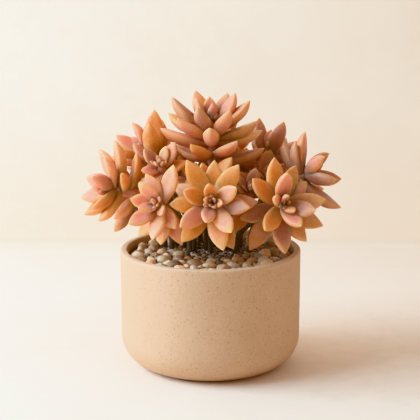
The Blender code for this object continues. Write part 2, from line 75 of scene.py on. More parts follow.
# Stems
STEM_FOOT_Z = 55.0
STEM_BEND_Z = 78.6
STEM_RADIUS_FOOT = 1.8
STEM_RADIUS_TOP = 1.6
STEM_STRAIGHT = 3.0
STEM_PULL = (0.9, 0.55)
STEM_SAMPLES = 16
STEM_RINGS = 72
STEM_AROUND = 14
STEM_RIDGES = 0.08
SCAR_SPACING = 3.1
SCAR_HEIGHT = 0.22
SCAR_SLANT = 0.7
SCAR_SHARPNESS = 8
SLANT_RUN = 5.0
RIDGE_RUN = 4.0

# Leaves: width and depth follow the length
LEAF_WIDTH_SHARE = 0.20
LEAF_WIDTH_BASE = 6.3
LEAF_WIDTH_MOST = 0.50
LEAF_DEPTH_SHARE = 0.58
LEAF_WIDEST = 0.54
LEAF_WIDTH_RISE = 1.1
LEAF_WIDTH_FALL = 2.1
LEAF_DEEPEST = 0.50
LEAF_DEPTH_FALL = 3.0
LEAF_ROOT_WIDTH = 0.28
LEAF_ROOT_DEPTH = 0.42
LEAF_CURL = math.radians(24)
YOUNG_CURL = math.radians(20)
YOUNG_LENGTH = 17.5
FULL_ROOT_WIDTH = 0.44
LEAF_UPPER = 0.34
LEAF_LOWER = 0.66
LEAF_GRID = (30, 22)
BUD_GRID = (12, 12)
TIP_PACKING = 1.35
ROOT_CLOSE = -0.03

# Unevenness that each leaf is drawn with: the most of its channel, keel and
# lifted margin as shares of its depth, and how far it bows, twists and ripples
LEAF_CHANNEL = 0.12
LEAF_KEEL = 0.10
LEAF_LIFT = 0.14
LEAF_BOW = 0.018
LEAF_TWIST = math.radians(4)
LEAF_RIPPLE = 0.012
RIPPLE_WAVES = 1.7
CHANNEL_WIDTH = 0.34
BELLY_POWER = 0.7

# The youngest leaves, closed round the tip: their lean from the axis, length
# and depth from the first to the last, and how far each may turn aside
BUD_LEAVES = 6
BUD_POLAR = (46, 16)
BUD_LENGTH = (8.5, 5.5)
BUD_DEPTH = -0.6
BUD_TURN = 0.5

# Cores of the leafy shoots: how far below the lowest leaf they end and begin to
# swell, how far past the crown they reach, their radii from stem to bud, and
# the light, tone and age that they carry
CORE_TAIL = 5.0
CORE_NECK = 2.5
CORE_TIP = 1.0
CORE_RADIUS = 3.6
CORE_PROFILE = (STEM_RADIUS_TOP, 2.9, CORE_RADIUS, CORE_RADIUS * 0.8, 1.3)
CORE_STEPS = 24
CORE_AROUND = 16
CORE_KIND = (0.5, 0.2, 1.0)

# Room kept between shoots, tested with balls that fill each leaf
BALL_STATIONS = (0.14, 0.28, 0.40, 0.52, 0.64, 0.76, 0.87, 0.95)
BALL_ASIDE = (-0.80, -0.42, 0.0, 0.42, 0.80)
BALL_SHARE = 0.42
BALL_MARGIN = 0.8
BALL_HEIGHT = -0.16
CORE_BALLS = 6
LEAF_GAP = 0.5
CLEAR_HEIGHT = POT_HEIGHT + 0.8
CLEAR_RADIUS = POT_RADIUS + 3.0
NEAR_ENOUGH = 46.0
TRIAL_TURNS = (
    (0, 0), (0, 6), (5, 6), (-5, 6), (0, -6), (5, -6), (-5, -6), (0, 12), (5, 12), (-5, 12),
    (0, -12), (5, -12), (-5, -12), (0, 18), (10, 0), (-10, 0), (10, 12), (-10, 12),
    (10, -12), (-10, -12), (0, 24), (0, -24), (14, 18), (-14, 18),
)
TRIAL_LENGTHS = (1.0, 0.72)

# Directions are given as the viewer sees them: a clock angle, counted
# anticlockwise from the right, and a lean toward the viewer, in degrees. The
# last two here are ones that no axis and no tube runs along
VIEW_TILT = math.radians(12.75)
RIGHT = np.array((1.0, 0.0, 0.0))
UP = np.array((0.0, math.sin(VIEW_TILT), math.cos(VIEW_TILT)))
TOWARD = np.array((0.0, -math.cos(VIEW_TILT), math.sin(VIEW_TILT)))
GOLDEN_ANGLE = math.radians(137.5)
BESIDE_AXIS = (0.0, 0.3, 1.0)
BESIDE_TUBE = (0.3, 1.0, 0.1)

# Shoots that face the viewer: the crown's place, the way the axis points, the
# foot in the soil, a letter for each leaf's tone, and each leaf as clock angle,
# lean, length and how far below the crown it grows
SHOOTS = {
    "front": ((1, -36, 117), (90, 80), (0, 3), "gyymtyggcmppooccmpmm", (
        (120, 5, 33, 6), (85, 0, 29, 8), (56, 5, 31, 6), (3, 0, 30, 8), (-64, 10, 32, 9),
        (-78, 22, 33, 5), (-130, 12, 32, 7), (181, 10, 28, 6), (-143, 29, 29, 4),
        (-6, 26, 27, 4), (-56, 38, 28, 3), (31, 34, 22, 3), (156, 30, 23, 4),
        (98, 43, 17, 2), (-110, 48, 19, 2), (0, 58, 12, 1), (150, 62, 11, 1),
        (152, -22, 31, 9), (-60, 68, 9, 0), (60, 70, 8, 0),
    )),
    "right_front": ((46.7, -30, 114.5), (27, 67), (17, 4), "gtottttmtmcmcocmcpm", (
        (97, 5, 32, 6), (68, 0, 29, 7), (137, 20, 27, 5), (39, -5, 25, 8), (8, 10, 30, 5),
        (-22, -10, 33, 9), (-51, 5, 29, 7), (-86, 22, 33, 6), (-124, 5, 34, 9),
        (197, 5, 27, 8), (83, 38, 26, 3), (-9, 35, 26, 3), (-48, 45, 25, 3),
        (-122, 40, 26, 3), (140, 60, 15, 1), (62, 60, 13, 1), (-30, 55, 14, 1),
        (200, 70, 8, 0), (-80, 70, 8, 0),
    )),
    "left_front": ((-34.5, -32, 115.5), (163, 56), (-14, 4), "ppppcypppppcppcc", (
        (71, 15, 28, 5), (115, 5, 22, 5), (135, 5, 21, 6), (170, 15, 20, 4),
        (213, 20, 25, 4), (230, -20, 28, 8), (267, 10, 26, 7), (-65, -1, 29, 7),
        (-55, 14, 20, 4), (260, 30, 26, 4), (128, 35, 20, 2), (197, 45, 17, 1),
        (-68, 60, 14, 2), (150, 65, 9, 0), (60, 60, 9, 0), (230, 60, 10, 0),
    )),
    "top": ((0.5, 8, 161.5), (92, 14), (2, 19), "mcocgcppcpctcmtcmpcmcpcm", (
        (14, 0, 36, 26), (24, 50, 28, 21), (156, 52, 25, 22), (175, -30, 28, 24),
        (-20, -50, 28, 24), (60, -60, 28, 20), (140, -55, 28, 18), (95, 65, 24, 15),
        (164, 5, 36, 14), (13, -5, 35, 13), (155, 35, 31, 9), (21, 10, 33, 11),
        (52, 45, 28, 9), (139, 5, 35, 6), (153, -20, 35, 8), (39, 0, 33, 6),
        (120, 45, 27, 8), (112, -15, 29, 4), (57, -5, 30, 5), (66, -25, 30, 4),
        (118, 10, 22, 3), (95, -10, 19, 1), (88, 20, 14, 1), (100, 30, 9, 0),
    )),
    "left": ((-65.5, -6, 120), (172, 18), (-26, 11), "ogyyogpppopcgccm", (
        (228, -15, 25, 18), (80, 5, 26, 13), (235, 10, 26, 7), (96, 0, 33, 6),
        (95, 62, 21, 9), (216, 0, 28, 5), (113, -15, 30, 3), (157, -25, 23, 2),
        (195, -15, 24, 2), (222, 35, 24, 3), (105, 30, 24, 2), (149, 50, 22, 1),
        (50, -25, 22, 9), (175, 30, 14, 0), (150, 20, 12, 0), (200, 45, 12, 0),
    )),
    "right": ((64, 0, 128.5), (16, 16), (27, 13), "mmmmcmmmccmc", (
        (-37, 5, 35, 6), (115, -20, 27, 5), (-70, -30, 26, 8), (102, 20, 24, 4),
        (88, 5, 29, 3), (-4, -15, 27, 3), (42, -5, 22, 2), (-10, 35, 25, 2),
        (44, 45, 22, 1), (30, 30, 13, 0), (5, 50, 12, 0), (60, 20, 12, 0),
    )),
    "left_mid": ((-32.2, -10, 136), (105, 50), (-11, 12), "mccocppmcp", (
        (133, 20, 18, 3), (183, 25, 15, 4), (235, 30, 17, 5), (20, 10, 18, 5),
        (64, 15, 20, 3), (77, 15, 14, 1), (150, 60, 9, 0), (100, 60, 9, 0),
        (203, 0, 19, 7), (60, 70, 8, 0),
    )),
    "left_tall": ((-37.5, 10, 140), (95, 20), (-18, 18), "gogcmoc", (
        (92, -5, 34, 4), (82, -25, 30, 3), (98, 30, 25, 2), (60, -20, 20, 5),
        (140, -24, 20, 5), (120, 20, 13, 1), (80, 10, 12, 0),
    )),
    "right_up": ((40, 24, 140), (70, 10), (20, 20), "mmpmmmocc", (
        (102, -20, 29, 4), (66, 15, 25, 3), (120, -40, 22, 5), (30, -20, 25, 5),
        (10, 10, 24, 6), (45, -40, 24, 4), (168, -15, 18, 5), (85, -30, 18, 1),
        (80, 0, 13, 0),
    )),
    "left_back": ((-45.5, 26, 139.5), (135, 5), (-23, 25), "ccocmcpc", (
        (180, -10, 27, 6), (149, -10, 25, 3), (166, 11, 24, 4), (114, 5, 22, 2),
        (90, -15, 18, 1), (135, -40, 22, 4), (200, -40, 24, 6), (130, 0, 12, 0),
    )),
    "mid_right": ((26, -8, 118), (80, 40), (9, 11), "ommmmc", (
        (-115, 0, 26, 5), (77, 10, 19, 3), (119, 15, 16, 3), (150, 30, 13, 2),
        (30, 10, 18, 4), (80, 50, 9, 0),
    )),
    "mid": ((-2.3, -12, 126), (90, 45), (-3, 12), "gompcopc", (
        (132, 0, 25, 5), (48, 5, 25, 4), (165, -5, 22, 6), (102, 25, 15, 2),
        (168, 20, 15, 4), (15, 0, 20, 5), (197, -12, 24, 8), (85, 50, 9, 0),
    )),
    "right_mid": ((37, 9, 123), (80, 30), (18, 12), "mmmoc", (
        (94, 10, 22, 3), (76, -16, 24, 4), (48, -24, 22, 4), (140, 10, 14, 3),
        (85, 20, 10, 0),
    )),
}

# Shoots behind and between: the same first three, how many leaves each has and
# how long its oldest one is. The leaves follow the golden angle
RULE_SHOOTS = {
    "back": ((-4, 39, 114), (92, -66), (-7, 31), 11, 30),
    "back_right": ((32, 45, 122), (55, -50), (9, 38), 11, 30),
    "back_left": ((-33, 47, 121), (125, -50), (-12, 38), 11, 30),
    "back_high": ((6, 34, 150), (80, -24), (4, 27), 11, 30),
    "side_right": ((58, 29, 107), (0, -35), (33, 24), 11, 30),
    "side_left": ((-57, 28, 107), (180, -35), (-31, 19), 11, 30),
    "heart_left": ((-19, 20, 134), (100, 12), (-13, 25), 10, 25),
    "heart_right": ((22, 24, 132), (84, 12), (12, 29), 10, 25),
}
RULE_POLAR = (math.radians(86), math.radians(16))
RULE_SHORTEST = 10.0
RULE_SHORTENING = 1.6
RULE_DEPTH = 9.0
RULE_TURN = math.radians(40)

# Leaf tones: mauve, coral, pale pink, pale gold, tan, gold and orange, each as
# its place on the leaf's colour ramp and how light it is. How light is partly the
# leaf's own tone and partly painted light and shade: the shoots toward the window
# on the left mostly have pale letters and those on the shaded right dark mauve ones.
# They vary a little, and a leaf without a letter draws its own
LEAF_TONES = {
    "m": (0.0, 0.15), "c": (0.2, 0.65), "p": (0.4, 0.95),
    "y": (0.6, 0.75), "t": (0.6, 0.15), "g": (0.8, 0.60), "o": (1.0, 0.50),
}
TONE_SPREAD = 0.05
RULE_TONE = (0.25, 0.3)
RULE_LIGHT = (0.1, 0.8)
PLANT_SEED = 7

# Stones: slow waves in the radius, breadth as a share of the length, and tilt
STONE_WAVES = 1.7
STONE_SWELL = 0.09
STONE_BROAD = (0.66, 0.95)
STONE_TILT = 0.28

# Gravel: coarse by the wall, and fine and darker as painted shade under the plant. The
# pebbles are thrown one by one, the later ones smaller, and grit lies between them on a rough bed
GRAVEL_SEED = 21
COARSE_CENTRE = (6.0, 9.0)
COARSE_REACH = (15.0, 36.0)
PEBBLE_TRIES = 9000
PEBBLE_LARGEST = 5.8
PEBBLE_FINEST = 0.40
PEBBLE_DWINDLE = 0.6
PEBBLE_SPREAD = (0.55, 1.0)
PEBBLE_FLAT = (0.58, 0.8)
PEBBLE_APART = 0.84
PEBBLE_WALL_GAP = 0.6
PEBBLE_INSIDE = 0.9
PEBBLE_STEM_GAP = 1.9
PEBBLE_SUNK = 0.3
PEBBLE_UNEVEN = 0.35
PEBBLE_SETTLE = 0.25
PEBBLE_PAINTED_SHADE = 0.25
PEBBLE_GRID = (6, 10)
GRIT_COUNT = 5200
GRIT_RADIUS = (0.45, 1.55)
GRIT_FLAT = (0.6, 0.9)
GRIT_WALL_GAP = 1.5
GRIT_CROWDING = 0.62
GRIT_SUNK = 1.6
GRIT_HEAP = 1.3
GRIT_THINNING = 0.7
GRIT_GRID = (3, 6)
BED_SUNK = 2.0
BED_GRID = (56, 144)
BED_UNDERSIDE = (0.3, 1.0, 3)
BED_MIDDLE = 0.02
BED_ROUGHNESS = 0.35
BED_WAVES = (1.3, 1.1)
BED_BEND = 2
BED_BENDS = (2.1, 1.7)

# Colour ramps, as stops of a place and a colour
LEAF_STOPS = (
    (0.00, (0.71, 0.285, 0.170)), (0.20, (0.89, 0.28, 0.165)), (0.40, (0.95, 0.435, 0.275)),
    (0.60, (0.93, 0.41, 0.135)), (0.80, (0.91, 0.33, 0.040)), (1.00, (0.89, 0.275, 0.065)),
)
PEBBLE_STOPS = (
    (0.00, (0.24, 0.135, 0.080)), (0.16, (0.56, 0.32, 0.185)), (0.34, (0.95, 0.55, 0.30)),
    (0.52, (1.00, 0.66, 0.36)), (0.62, (0.60, 0.42, 0.31)), (0.72, (0.90, 0.62, 0.44)),
    (0.86, (1.00, 0.70, 0.43)), (1.00, (1.00, 0.82, 0.56)),
)
GRIT_STOPS = (
    (0.00, (0.045, 0.028, 0.019)), (0.34, (0.16, 0.095, 0.058)), (0.64, (0.38, 0.225, 0.14)),
    (0.84, (0.58, 0.43, 0.31)), (0.93, (1.00, 0.92, 0.82)), (1.00, (1.00, 0.96, 0.88)),
)

# Colours of what lies over the ramps, and of the other finishes
# The two root colours and the young colour are partly the leaf's own base and bud colour and partly
# painted shade where the leaves crowd at the heart of the rosette
LEAF_COLOURS = {
    "underside": (0.62, 0.22, 0.12), "gold": (0.98, 0.52, 0.20), "young": (0.34, 0.17, 0.115),
    "mauve root": (0.40, 0.195, 0.110), "golden root": (0.36, 0.23, 0.075),
    "mark": (0.40, 0.17, 0.07), "bloom": (0.95, 0.78, 0.68),
}
# The cork colour is partly the stem's own brown bark and partly painted shade low under the leaves
STEM_COLOURS = {
    "olive": (0.40, 0.32, 0.12), "cork": (0.17, 0.11, 0.065), "scar": (0.34, 0.23, 0.12),
    "blotch": (0.09, 0.065, 0.03),
}
# The lip colour is a painted highlight along the top of the rim
POT_COLOURS = {
    "clay": (0.68, 0.422, 0.258), "pale clay": (0.73, 0.460, 0.290), "sand": (0.51, 0.31, 0.185),
    "lip": (0.84, 0.62, 0.43), "iron": (0.36, 0.150, 0.065), "rust": (0.58, 0.28, 0.14),
}
STONE_COLOURS = {
    "vein": (0.62, 0.50, 0.38), "mineral": (0.10, 0.065, 0.040), "grime": (0.22, 0.135, 0.075),
}
GRIT_BED_COLOURS = {
    "dark": (0.035, 0.023, 0.016), "light": (0.13, 0.085, 0.055), "grain": (0.36, 0.27, 0.19),
}
SOIL_COLOURS = {
    "dark": (0.030, 0.019, 0.013), "light": (0.10, 0.065, 0.04), "grain": (0.36, 0.27, 0.19),
}

# Camera, as fitted to the pot's outline in a frame of 420 by 420 pixels
FRAME_PIXELS = 420
FOCAL_PIXELS = 1399
SENSOR_WIDTH = 36.0
CAMERA_PLACE = (-0.34, -903.0, 308.4)

# Stage: a floor and a wall, each with its colours, how blotched it is, how warm
# it is near the floor and how much it glows
STAGE_REACH = 5000.0
WALL_Y = 310.0
WALL_HEIGHT = 2500.0
COVE_RADIUS = 6.0
COVE_LIFT = 0.2
# Each warm colour, laid toward the right, is painted shade away from the window on the left, and the
# colour for the corner at the wall's foot is painted shade
SHARED_COLOURS = {
    "blot": (0.74, 0.64, 0.53), "low": (0.80, 0.62, 0.46), "corner_shade": (0.66, 0.53, 0.42),
}
FLOOR_COLOURS = {"pale": (0.99, 0.83, 0.715), "warm": (0.885, 0.71, 0.58), **SHARED_COLOURS}
WALL_COLOURS = {"pale": (0.90, 0.78, 0.665), "warm": (0.665, 0.535, 0.415), **SHARED_COLOURS}
FLOOR_PLASTER = (FLOOR_COLOURS, 0.30, 0.0, 0.0)
WALL_PLASTER = (WALL_COLOURS, 0.16, 0.35, 0.26)

# Light: a large window on the left and a weak pale glow from the right, each as
# place, size, power and colour, and a warm world in the shadows
LIGHT_TARGET = (0, 0, 90)
LIGHTS = {
    "window": ((-980, -190, 690), 0.90, 28.0, (0.54, 0.79, 1.0)),
    "pale wall": ((900, -250, 380), 1.20, 1.1, (0.80, 0.95, 1.0)),
}
WORLD_COLOUR = (1.0, 0.89, 0.77)
WORLD_STRENGTH = 0.46


def unit(vector):
    """The vector at length one."""
    return vector / np.linalg.norm(vector)


def direction(clock, lean):
    """The direction seen at a clock angle, leaning toward the viewer."""
    c, l = math.radians(clock), math.radians(lean)
    return math.cos(l) * (math.cos(c) * RIGHT + math.sin(c) * UP) + math.sin(l) * TOWARD


def seen_angles(d):
    """The clock angle and lean, in degrees, of a direction."""
    return math.degrees(math.atan2(d @ UP, d @ RIGHT)), math.degrees(math.asin(d @ TOWARD))


def side_axes(axis):
    """Two directions square to an axis and to each other."""
    side = unit(np.cross(axis, BESIDE_AXIS))
    return side, np.cross(axis, side)


def full_turn(sides):
    """So many angles, evenly round the circle."""
    return 2 * math.pi * np.arange(sides) / sides


def between(pair, share):
    """The number that far from the first of a pair to the second."""
    return pair[0] + (pair[1] - pair[0]) * share


def seen_about(axis, polar, around):
    """The clock angle and lean, in degrees, of a direction that leans from an axis, turned about it."""
    side, other = side_axes(axis)
    outward = math.cos(around) * side + math.sin(around) * other
    return seen_angles(math.cos(polar) * axis + math.sin(polar) * outward)


def rule_leaves(axis, turn, count, longest):
    """Leaf rows by the golden angle about the axis, from flat old leaves to steep young ones."""
    rows = []
    for i in range(count):
        t = i / (count - 1)
        seen = seen_about(axis, between(RULE_POLAR, t), turn + GOLDEN_ANGLE * i)
        length = between((longest, RULE_SHORTEST), t ** RULE_SHORTENING)
        rows.append((*seen, length, RULE_DEPTH * (1 - t)))
    return rows


class Shoot:
    """A leafy shoot: its crown, axis and foot, its leaf rows and tones, and how far down they reach."""

    def __init__(self, crown, face, foot, tones, leaves):
        self.crown = np.array(crown, float)
        self.axis = direction(*face)
        self.foot = foot
        self.tones = tones
        self.leaves = leaves
        self.depth = max(row[3] for row in leaves)


def all_shoots():
    """Every shoot by its name, the ones that face the viewer first."""
    shoots = {name: Shoot(*values) for name, values in SHOOTS.items()}
    for i, (name, (crown, face, foot, count, longest)) in enumerate(RULE_SHOOTS.items()):
        rows = rule_leaves(direction(*face), RULE_TURN * i, count, longest)
        shoots[name] = Shoot(crown, face, foot, "", rows)
    return shoots


def width_profile(t, root):
    """Leaf width from root to tip as a share of the widest: a quarter sine, then a pointed fall."""
    rise = np.sin(0.5 * math.pi * np.clip(t / LEAF_WIDEST, 0, 1)) ** LEAF_WIDTH_RISE
    fall = np.clip((t - LEAF_WIDEST) / (1 - LEAF_WIDEST), 0, 1) ** LEAF_WIDTH_FALL
    return np.where(t < LEAF_WIDEST, root + (1 - root) * rise, 1 - fall)


def depth_profile(t):
    """Leaf depth from root to tip as a share of the deepest: a quarter sine, then a round fall."""
    rise = np.sin(0.5 * math.pi * np.clip(t / LEAF_DEEPEST, 0, 1))
    fall = np.clip((t - LEAF_DEEPEST) / (1 - LEAF_DEEPEST), 0, 1) ** LEAF_DEPTH_FALL
    return np.where(t < LEAF_DEEPEST, LEAF_ROOT_DEPTH + (1 - LEAF_ROOT_DEPTH) * rise, 1 - fall)


class Leaf:
    """A fleshy leaf: its mid-line is an arc in the plane of the shoot's axis."""

    def __init__(self, shoot, row):
        clock, lean, self.length, self.down = row
        self.root = shoot.crown - shoot.axis * self.down
        self.along = direction(clock, lean)
        self.upper = unit(shoot.axis - (shoot.axis @ self.along) * self.along)
        self.side = np.cross(self.along, self.upper)
        usual = LEAF_WIDTH_SHARE * self.length + LEAF_WIDTH_BASE
        self.width = min(LEAF_WIDTH_MOST * self.length, usual)
        self.depth = LEAF_DEPTH_SHARE * self.width
        self.curl = LEAF_CURL if self.length > YOUNG_LENGTH else YOUNG_CURL

    def bent(self, t, aside, height):
        """Points at t along the arc of the mid-line, that far to the side and above it."""
        angle = self.curl * (t - 0.5)
        half = self.curl / 2
        along = self.length * (np.sin(angle) + math.sin(half)) / self.curl - height * np.sin(angle)
        rise = self.length * (math.cos(half) - np.cos(angle)) / self.curl + height * np.cos(angle)
        forward = self.root + along[..., None] * self.along + rise[..., None] * self.upper
        return forward + aside[..., None] * self.side

    def balls(self):
        """Balls that fill the leaf, as centres and radii."""
        t = np.repeat(BALL_STATIONS, len(BALL_ASIDE))
        x = np.tile(BALL_ASIDE, len(BALL_STATIONS))
        deep = depth_profile(t) * self.depth
        aside = x * width_profile(t, LEAF_ROOT_WIDTH) * self.width / 2
        sizes = BALL_SHARE * deep * np.sqrt(1 - BALL_MARGIN * x * x)
        return self.bent(t, aside, BALL_HEIGHT * deep), sizes

    def surface(self, grid, draw):
        """Rings over the whole leaf, with each point's place on it.

        t runs from root to tip, packed toward the tip, and v goes round the
        section: a flat arch with a shallow channel above, and a deep arch with
        a soft keel below. The margins lift a little. A sideways bow and a
        twist, drawn for each leaf, grow from root to tip.
        """
        rows, sides = grid
        s = np.arange(rows)[:, None] / rows
        v = full_turn(sides)
        t, x, y = np.broadcast_arrays(1 - (1 - s) ** TIP_PACKING, np.cos(v), np.sin(v))
        middle = np.exp(-(x / CHANNEL_WIDTH) ** 2)
        belly = np.sin(math.pi * np.clip(t, 0, 1)) ** BELLY_POWER
        channel = draw.uniform(0.0, LEAF_CHANNEL) * middle * belly
        keel = draw.uniform(0.0, LEAF_KEEL) * middle * belly
        above = LEAF_UPPER * np.clip(y, 0, 1) - channel * (y > 0)
        below = (LEAF_LOWER + keel) * np.clip(-y, 0, 1)
        lift = draw.uniform(0.0, LEAF_LIFT) * x * x * belly
        aside = x * width_profile(t, FULL_ROOT_WIDTH) * self.width / 2
        height = (above - below + lift) * depth_profile(t) * self.depth
        wave = np.sin(2 * math.pi * (RIPPLE_WAVES * t + draw.uniform()) + 2 * x)
        ripple = LEAF_RIPPLE * self.width * wave
        twist = draw.normal(0, LEAF_TWIST) * t
        bow = draw.normal(0, LEAF_BOW) * self.length * t * t
        aside, height = (
            aside * np.cos(twist) - height * np.sin(twist) + bow,
            aside * np.sin(twist) + height * np.cos(twist) + ripple * belly,
        )
        place = np.stack((t, x, y), -1)
        root, tip = self.bent(np.array((ROOT_CLOSE, 1.0)), np.array((0.0, bow[-1, 0])), np.zeros(2))
        return self.bent(t, aside, height), root, tip, place


def stem_path(shoot, t):
    """Points on the bare stem: upright where it leaves the soil, along the axis where it ends.

    They lie on a cubic curve with a pull at each end, and one more closes the
    straight run into the core.
    """
    top = shoot.crown - shoot.axis * (shoot.depth + CORE_TAIL + FIT_GAP)
    end = top - shoot.axis * STEM_STRAIGHT
    foot = np.array((*shoot.foot, STEM_BEND_Z))
    reach = np.linalg.norm(end - foot)
    t = np.asarray(t)[:, None]
    start_pull = reach * STEM_PULL[0] * np.array((0.0, 0.0, 1.0))
    end_pull = reach * STEM_PULL[1] * shoot.axis
    curve = (
        (2 * t ** 3 - 3 * t ** 2 + 1) * foot
        + (t ** 3 - 2 * t ** 2 + t) * start_pull
        + (3 * t ** 2 - 2 * t ** 3) * end
        + (t ** 3 - t ** 2) * end_pull
    )
    return np.vstack((curve, top))


def trials(row):
    """The leaf as its row gives it, then turned a little, then the same for a shorter one."""
    clock, lean, length, down = row
    for share in TRIAL_LENGTHS:
        for turn in TRIAL_TURNS:
            yield (clock + turn[0], lean + turn[1], length * share, down)


def place_leaves(shoots):
    """Each shoot's leaves, turned or shortened where they would cross another shoot, or left off."""
    centres, radii, owners = [], [], []
    for name, shoot in shoots.items():
        core = np.linspace(0, shoot.depth + CORE_TAIL, CORE_BALLS)[:, None]
        stem = stem_path(shoot, np.linspace(0, 1, STEM_SAMPLES))
        centres += [shoot.crown - core * shoot.axis, stem]
        radii += [np.full(len(core), CORE_RADIUS), np.full(len(stem), STEM_RADIUS_FOOT)]
        owners += [name] * len(core) + [name + " stem"] * len(stem)
    centres, radii, owners = np.vstack(centres), np.concatenate(radii), np.array(owners)
    placed = {}
    for name, shoot in shoots.items():
        placed[name] = []
        for row in shoot.leaves:
            for trial in trials(row):
                leaf = Leaf(shoot, trial)
                points, sizes = leaf.balls()
                over_pot = np.hypot(points[:, 0], points[:, 1]) < CLEAR_RADIUS
                if (over_pot & (points[:, 2] - sizes < CLEAR_HEIGHT)).any():
                    continue
                near = (owners != name) & (np.linalg.norm(centres - leaf.root, axis=1) < NEAR_ENOUGH)
                apart = np.linalg.norm(points[:, None] - centres[None, near], axis=2)
                room = apart - sizes[:, None] - radii[None, near]
                own_stem = owners[near] == name + " stem"
                room[:len(BALL_ASIDE), own_stem] = LEAF_GAP * 2
                if room.min(initial=LEAF_GAP * 2) > LEAF_GAP:
                    placed[name].append(leaf)
                    centres = np.vstack((centres, points))
                    radii = np.concatenate((radii, sizes))
                    owners = np.concatenate((owners, [name] * len(points)))
                    break
    return placed


def put_in_scene(name, data):
    """A new object that shows the data, linked to the scene."""
    thing = bpy.data.objects.new(name, data)
    bpy.context.scene.collection.objects.link(thing)
    return thing


class Skin:
    """Closed tubes of rings gathered into one mesh, with values that its points carry."""

    def __init__(self):
        self.points, self.quads, self.fans, self.values = [], [], [], {}
        self.size = 0

    def add(self, rings, first, last, **values):
        """Add tubes, given as rings (tube, ring, side) of points and the two points that close them.

        The values are numbers that the points carry. The two points carry the
        mean of the ring next to them, but a leaf's tip is at the end of its
        mid-line.
        """
        tubes, rows, sides = rings.shape[:3]
        each = rows * sides + 2
        ring_points = rings.reshape(tubes, rows * sides, 3)
        points = np.concatenate((first[:, None], ring_points, last[:, None]), 1)
        start = self.size + each * np.arange(tubes)[:, None, None]
        row, side = np.arange(rows - 1)[:, None], np.arange(sides)[None, :]
        beside = (side + 1) % sides
        here, there = 1 + row * sides + side, 1 + row * sides + beside
        quads = start[..., None] + np.stack((here, there, there + sides, here + sides), -1)
        top = 1 + (rows - 1) * sides
        near_fan = np.stack((1 + beside[0], 1 + side[0], np.zeros(sides, int)), -1)
        far_fan = np.stack((top + side[0], top + beside[0], np.full(sides, each - 1)), -1)
        fans = start + np.concatenate((near_fan, far_fan))[None]
        if enclosed(points[0], quads[0].reshape(-1, 4) - start[0, 0, 0], fans[0] - start[0, 0, 0]) < 0:
            quads, fans = quads[..., ::-1], fans[..., ::-1]
        self.points.append(points.reshape(-1, 3))
        self.quads.append(quads.reshape(-1, 4))
        self.fans.append(fans.reshape(-1, 3))
        for key, value in values.items():
            value = np.broadcast_to(value, rings.shape)
            start_value, end_value = value[:, 0].mean(1)[:, None], value[:, -1].mean(1)[:, None]
            if key == "leaf_place":
                end_value = np.broadcast_to((1.0, 0.0, 0.0), end_value.shape)
            middle = value.reshape(tubes, rows * sides, 3)
            carried = np.concatenate((start_value, middle, end_value), 1)
            self.values.setdefault(key, []).append(carried.reshape(-1, 3))
        self.size += tubes * each

    def add_tube(self, rings, first, last, **values):
        """Add one tube."""
        self.add(rings[None], np.array((first,)), np.array((last,)), **values)

    def piece(self, name, material, slot, node):
        """Make the piece: a smooth mesh that rides on the body and stands for the node."""
        points = np.concatenate(self.points) * MM
        quads, fans = np.concatenate(self.quads), np.concatenate(self.fans)
        corners = np.concatenate((quads.ravel(), fans.ravel())).astype(np.int32)
        starts = np.concatenate((4 * np.arange(len(quads)), 4 * len(quads) + 3 * np.arange(len(fans))))
        mesh = bpy.data.meshes.new(name)
        mesh.vertices.add(len(points))
        mesh.vertices.foreach_set("co", points.astype(np.float32).ravel())
        mesh.loops.add(len(corners))
        mesh.loops.foreach_set("vertex_index", corners)
        mesh.polygons.add(len(starts))
        mesh.polygons.foreach_set("loop_start", starts.astype(np.int32))
        mesh.update(calc_edges=True)
        mesh.validate()
        mesh.shade_smooth()
        for key, value in self.values.items():
            layer = mesh.attributes.new(key, "FLOAT_VECTOR", "POINT")
            layer.data.foreach_set("vector", np.concatenate(value).astype(np.float32).ravel())
        mesh.materials.append(material)
        piece = put_in_scene(name, mesh)
        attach(piece, "root")
        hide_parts(node)


def enclosed(points, quads, fans):
    """Six times the volume inside the faces, negative where they point inwards."""
    triangles = np.concatenate((quads[:, :3], quads[:, (0, 2, 3)], fans))
    a, b, c = (points[triangles[:, i]] for i in range(3))
    return np.einsum("ij,ij->", a, np.cross(b, c))


def swept(path, radii, sides):
    """Rings round a path, square to it and kept from twisting, of the radii given for each point."""
    tangents = np.gradient(path, axis=0)
    side = unit(np.cross(tangents[0], BESIDE_TUBE))
    around = full_turn(sides)
    rings = []
    for point, tangent, radius in zip(path, tangents, radii):
        forward = unit(tangent)
        side = unit(side - (side @ forward) * forward)
        other = np.cross(forward, side)
        spokes = np.outer(np.cos(around), side) + np.outer(np.sin(around), other)
        rings.append(point + radius[:, None] * spokes)
    return np.array(rings)


def arc(centre_r, centre_z, radius, start, end, steps):
    """Profile points on an arc, from a start angle to an end angle in degrees."""
    angles = np.radians(np.linspace(start, end, steps + 1))
    return np.stack((centre_r + radius * np.cos(angles), centre_z + radius * np.sin(angles)), 1)


def run(start, end, steps):
    """Profile points on a straight run, without its ends."""
    share = np.arange(1, steps)[:, None] / steps
    return (1 - share) * np.array(start) + share * np.array(end)


def pot_outer_radius(z):
    """The outer radius at a height above the rounded foot."""
    share = (z - POT_BASE_ROUND) / (POT_HEIGHT - POT_BASE_ROUND)
    return POT_RADIUS * (POT_TAPER + (1 - POT_TAPER) * max(0.0, share))


def inner_radius(z):
    """The inner radius of the straight wall at a height."""
    return pot_outer_radius(z) - POT_WALL


